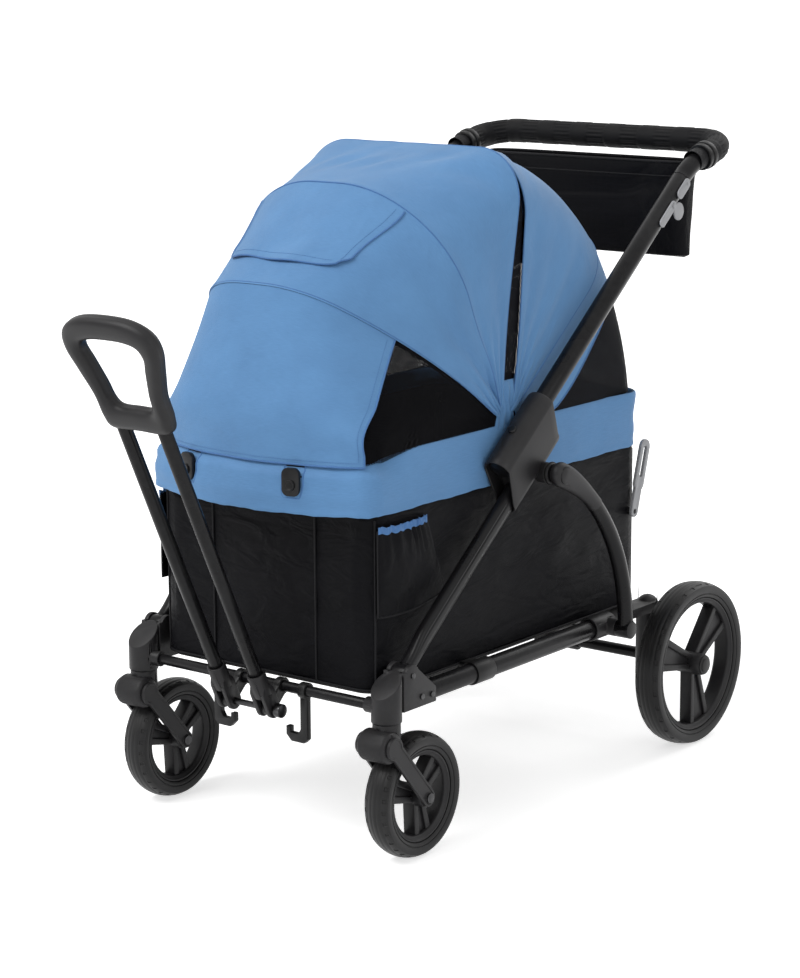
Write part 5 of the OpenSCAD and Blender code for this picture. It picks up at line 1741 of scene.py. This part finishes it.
def gripPath():
    # from the right end, over the bar, to the left end; stations about 3 mm apart
    tilt = math.radians(grip["tilt"])
    along = Vector((0, math.cos(tilt), math.sin(tilt)))
    bar = at(0, grip["barY"], grip["barZ"])
    corner, end = grip["corner"] / 1000, legX / 1000
    straight = end - corner
    points = []
    for k in range(grip["straightSteps"]):
        run = grip["straight"] * (1 - k / grip["straightSteps"]) / 1000
        points.append(bar + Vector((end, 0, 0)) - along * (corner + run))
    for k in range(grip["cornerSteps"] + 1):
        turn = math.pi / 2 * k / grip["cornerSteps"]
        x = straight + corner * math.cos(turn)
        points.append(bar + Vector((x, 0, 0)) + along * (-corner + corner * math.sin(turn)))
    rightEnd = list(points)
    for k in range(1, grip["barSteps"]):
        points.append(bar + Vector((mix(straight, -straight, k / grip["barSteps"]), 0, 0)))
    points += [Vector((-p.x, p.y, p.z)) for p in reversed(rightEnd)]
    return points, along


def addGrip():
    path, along = gripPath()
    ends = len(path) - 1
    lengths = [0]
    for a, b in zip(path, path[1:]):
        lengths.append(lengths[-1] + (b - a).length * 1000)
    normal = Vector((1, 0, 0)).cross(along).normalized()

    def pointAt(u, v):
        k = round(v * ends)
        a, b = path[max(0, k - 1)], path[min(ends, k + 1)]
        run = (b - a).normalized()
        side = normal.cross(run).normalized()
        s = lengths[k] - lengths[-1] / 2
        place = (s / grip["block"]) % 2
        edge = min(place % 1, 1 - place % 1) * grip["block"]
        turn = 2 * math.pi * u
        radius = grip["radius"] - grip["seam"] * (1 - ease(edge / grip["seamWidth"]))
        if place < 1:
            ribbed = (1 - math.cos(grip["ribs"] * turn)) * ease(edge / grip["ribFade"])
            radius -= grip["ribDrop"] + grip["ribDepth"] * ribbed
        if k in (0, ends):
            radius = grip["bore"]
        return path[k] + (normal * math.cos(turn) + side * math.sin(turn)) * radius / 1000

    sleeveFoam = newSheet("pushBarFoam", 108, ends, pointAt, (0.12, 0.55), (0, 0, 0), closed=True)
    outward(sleeveFoam)
    smooth(sleeveFoam, 50)
    dress(sleeveFoam, "push_handle", "foam", foam, "push_grip")


addGrip()


# organiser bag

bag = {"x": 219, "front": 824, "rear": 892, "top": 1021, "bottom": 850, "cloth": 1.8, "foldAt": 0.8,
       "mouth": 30, "foot": 24, "belly": 7, "crumple": (5.5, 2.2), "mouthCord": 2.4, "lowCord": 1.3,
       "strapCloth": 1.2, "strapFrom": 796, "strapTo": 818, "strapRadius": 17.4, "strapTurn": (-80, 215),
       "strapDrop": 26}


def bagPoint(u, v):
    # round the bag, and from its mouth down to the middle of its bottom
    turn = 2 * math.pi * u
    down = min(1, v / bag["foldAt"])
    under = ease((v - bag["foldAt"]) / (1 - bag["foldAt"]))
    square = 0.28 + 0.1 * down
    cx = math.copysign(abs(math.cos(turn)) ** square, math.cos(turn))
    cy = math.copysign(abs(math.sin(turn)) ** (square + 0.35), math.sin(turn))
    belly = math.sin(math.pi * down) ** 0.8
    halfX = bag["x"] - 10 + 8 * (1 - down) - 3 * belly
    halfY = mix(bag["mouth"], bag["foot"], down) + bag["belly"] * belly
    middleY = (bag["front"] + bag["rear"]) / 2
    sag = 5 * math.cos(turn) ** 2 * (1 - down) + 3 * math.sin(7 * turn) * belly * 0.35
    z = mix(bag["top"], bag["bottom"] + 4, down) - 4 * under + sag * 0.4 * down
    crumple = bag["crumple"][0] * noise.noise(Vector((2.6 * cx, 2.4 * down, 1.5 * cy))) * belly
    crumple += bag["crumple"][1] * noise.noise(Vector((6 * cx, 6 * down, 3 + cy))) * belly
    return at(cx * halfX * mix(1, 0.96, under), middleY + cy * (halfY + crumple) * (1 - under), z)


def strapPoint(u, v):
    # round the push tube from its inner side, then down to the bag's front corner
    tilt = math.radians(grip["tilt"])
    y = mix(bag["strapFrom"], bag["strapTo"], u)
    z = grip["barZ"] - (grip["barY"] - y) * math.tan(tilt)
    turn = math.radians(mix(*bag["strapTurn"], min(1, v / bag["foldAt"])))
    out, up = bag["strapRadius"] * math.sin(turn), bag["strapRadius"] * math.cos(turn)
    loop = at(legX + out, y - up * math.sin(tilt), z + up)
    end = at(bag["x"] - 4, bag["front"] + 3 + 20 * u, bag["top"] - bag["strapDrop"])
    return loop.lerp(end, max(0, (v - bag["foldAt"]) / (1 - bag["foldAt"])))


def addBag():
    sheet = newSheet("organiserBag", 120, 34, bagPoint, (0.98, 0.22), (0, 0, 0), closed=True)
    outward(sheet)
    thicken(sheet, bag["cloth"])
    dress(sheet, "push_handle", "black_cloth", blackCloth, "organiser_bag")
    seams = []
    for v, cord in ((0.012, bag["mouthCord"]), (0.13, bag["lowCord"])):
        seams.append(pipe("seam", [bagPoint(k / 120, v) for k in range(120)], cord, closed=True))
    piping = joined("bagPiping", seams)
    dress(piping, "push_handle", "black_cloth", blackTrim)
    near = newSheet("bagStrapRight", 8, 60, strapPoint, (0.022, 0.13), (0, 0, 0))
    thicken(near, bag["strapCloth"])
    for strap in dressBoth(near, "bagStrapLeft", "push_handle", "black_cloth", blackTrim):
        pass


addBag()
print("bag and grip made")


# pull handle grip

pullGrip = {"pivot": (-95, 224), "lean": 25.2, "foot": 522, "thick": 30, "slim": 0.86, "square": 0.8,
            "seam": 0.5, "seamWidth": 0.09,
            # half outlines as (x, height over the foot), from the bottom's middle to the top's
            "outer": [(0, 0), (56, 0), (67, 20), (69, 60), (83, 104), (95, 146), (88, 177), (54, 197),
                      (0, 202)],
            "inner": [(0, 45), (29, 46), (41, 58), (46, 82), (54, 118), (59, 138), (51, 153), (29, 158),
                      (0, 159)]}


def closedCurve(half, steps):
    # a smooth closed line through a half outline and its mirror
    points = half + [(-x, z) for x, z in reversed(half[1:-1])]
    count = len(points)
    spots = []
    for k in range(count):
        a, b, c, d = (Vector(points[(k + j) % count]) for j in (-1, 0, 1, 2))
        for step in range(steps):
            t = step / steps
            spots.append(0.5 * ((2 * b) + (c - a) * t + (2 * a - 5 * b + 4 * c - d) * t * t
                                + (3 * b - a - 3 * c + d) * t ** 3))
    return spots


def addPullGrip():
    lean = math.radians(pullGrip["lean"])
    up = Vector((0, -math.sin(lean), math.cos(lean)))
    out = Vector((0, math.cos(lean), math.sin(lean)))
    origin = at(0, *pullGrip["pivot"])
    outer = closedCurve(pullGrip["outer"], 10)
    inner = closedCurve(pullGrip["inner"], 10)
    ends = len(outer)

    def pointAt(u, v):
        k = round(v * ends) % ends
        a, b = outer[k], inner[k]
        turn = 2 * math.pi * u
        across = math.copysign(abs(math.cos(turn)) ** pullGrip["square"], math.cos(turn))
        thick = math.copysign(abs(math.sin(turn)) ** pullGrip["square"], math.sin(turn))
        seam = pullGrip["seam"] * math.exp(-(math.sin(turn) / pullGrip["seamWidth"]) ** 2)   # parting line
        half = (a - b).length / 2
        spot = (a + b) / 2 + (a - b) / 2 * pullGrip["slim"] * across * (1 - seam / half)
        high, deep = pullGrip["foot"] + spot.y, thick * pullGrip["thick"] / 2
        return origin + (Vector((spot.x, 0, 0)) + up * high + out * deep) / 1000

    piece = newSheet("pullGrip", 72, ends, pointAt, (0.14, 0.55), (0, 0, 0), closed=True)
    outward(piece)
    smooth(piece, 60)
    dress(piece, "pull_handle", "charcoal_plastic", moulding, "pull_grip")


addPullGrip()


# floor, backdrop and light

studio = {"floorSize": 400, "floorGlow": 0.62, "glowFrom": 0.9, "glowTo": 3.0, "world": 0.42,
          "aim": (0, 0, 0.5),
          # each lamp: place, size and power
          "keyLamp": ((-1.2, -3.0, 4.2), 2.6, 150), "fillLamp": ((4.0, -1.0, 2.2), 2.4, 34),
          "backLamp": ((0.5, 3.6, 3.4), 2.4, 40)}


def seenRays(tree):
    # 1 where the camera sees, straight or through glass and mirror
    path = addNode(tree, "LightPath").outputs
    seen = mathNode(tree, "MAXIMUM", path["Is Camera Ray"], path["Is Glossy Ray"])
    return mathNode(tree, "MAXIMUM", seen, path["Is Transmission Ray"])


def addFloor():
    floor = added("studioFloor", bpy.ops.mesh.primitive_plane_add, size=studio["floorSize"])
    material, tree, shader, spots = startMaterial("paleFloor")
    shader.inputs["Base Color"].default_value = (0.93, 0.93, 0.93, 1)
    shader.inputs["Roughness"].default_value = 0.9
    shader.inputs["Specular IOR Level"].default_value = 0.1
    distance = addNode(tree, "VectorMath", {0: spots["Object"]}, operation="LENGTH").outputs["Value"]
    glow = mapped(tree, distance, studio["glowFrom"], studio["glowTo"], studio["floorGlow"], 1.0)
    strength = mathNode(tree, "MULTIPLY", glow, seenRays(tree))
    white = addNode(tree, "Emission", {"Color": (1, 1, 1, 1), "Strength": strength})
    both = addNode(tree, "AddShader", {0: shader.outputs[0], 1: white.outputs[0]})
    tree.links.new(both.outputs[0], tree.nodes["Material Output"].inputs["Surface"])
    floor.data.materials.append(material)


def addWorld():
    world = bpy.data.worlds.new("studio")
    scene.world = world
    world.use_nodes = True
    tree = world.node_tree
    tree.nodes.clear()
    strength = mapped(tree, seenRays(tree), 0, 1, studio["world"], 1.0)
    sky = addNode(tree, "Background", {"Color": (1, 1, 1, 1), "Strength": strength})
    out = tree.nodes.new("ShaderNodeOutputWorld")
    tree.links.new(sky.outputs[0], out.inputs["Surface"])


def addLamps():
    for name in ("keyLamp", "fillLamp", "backLamp"):
        place, wide, power = studio[name]
        bpy.ops.object.light_add(type="AREA", location=place)
        lamp = bpy.context.object
        lamp.name = name
        lamp.data.energy = power
        lamp.data.size = wide
        aim = Vector(studio["aim"]) - Vector(place)
        lamp.rotation_euler = aim.to_track_quat("-Z", "Y").to_euler()


addFloor()
addWorld()
addLamps()
print("studio lit")
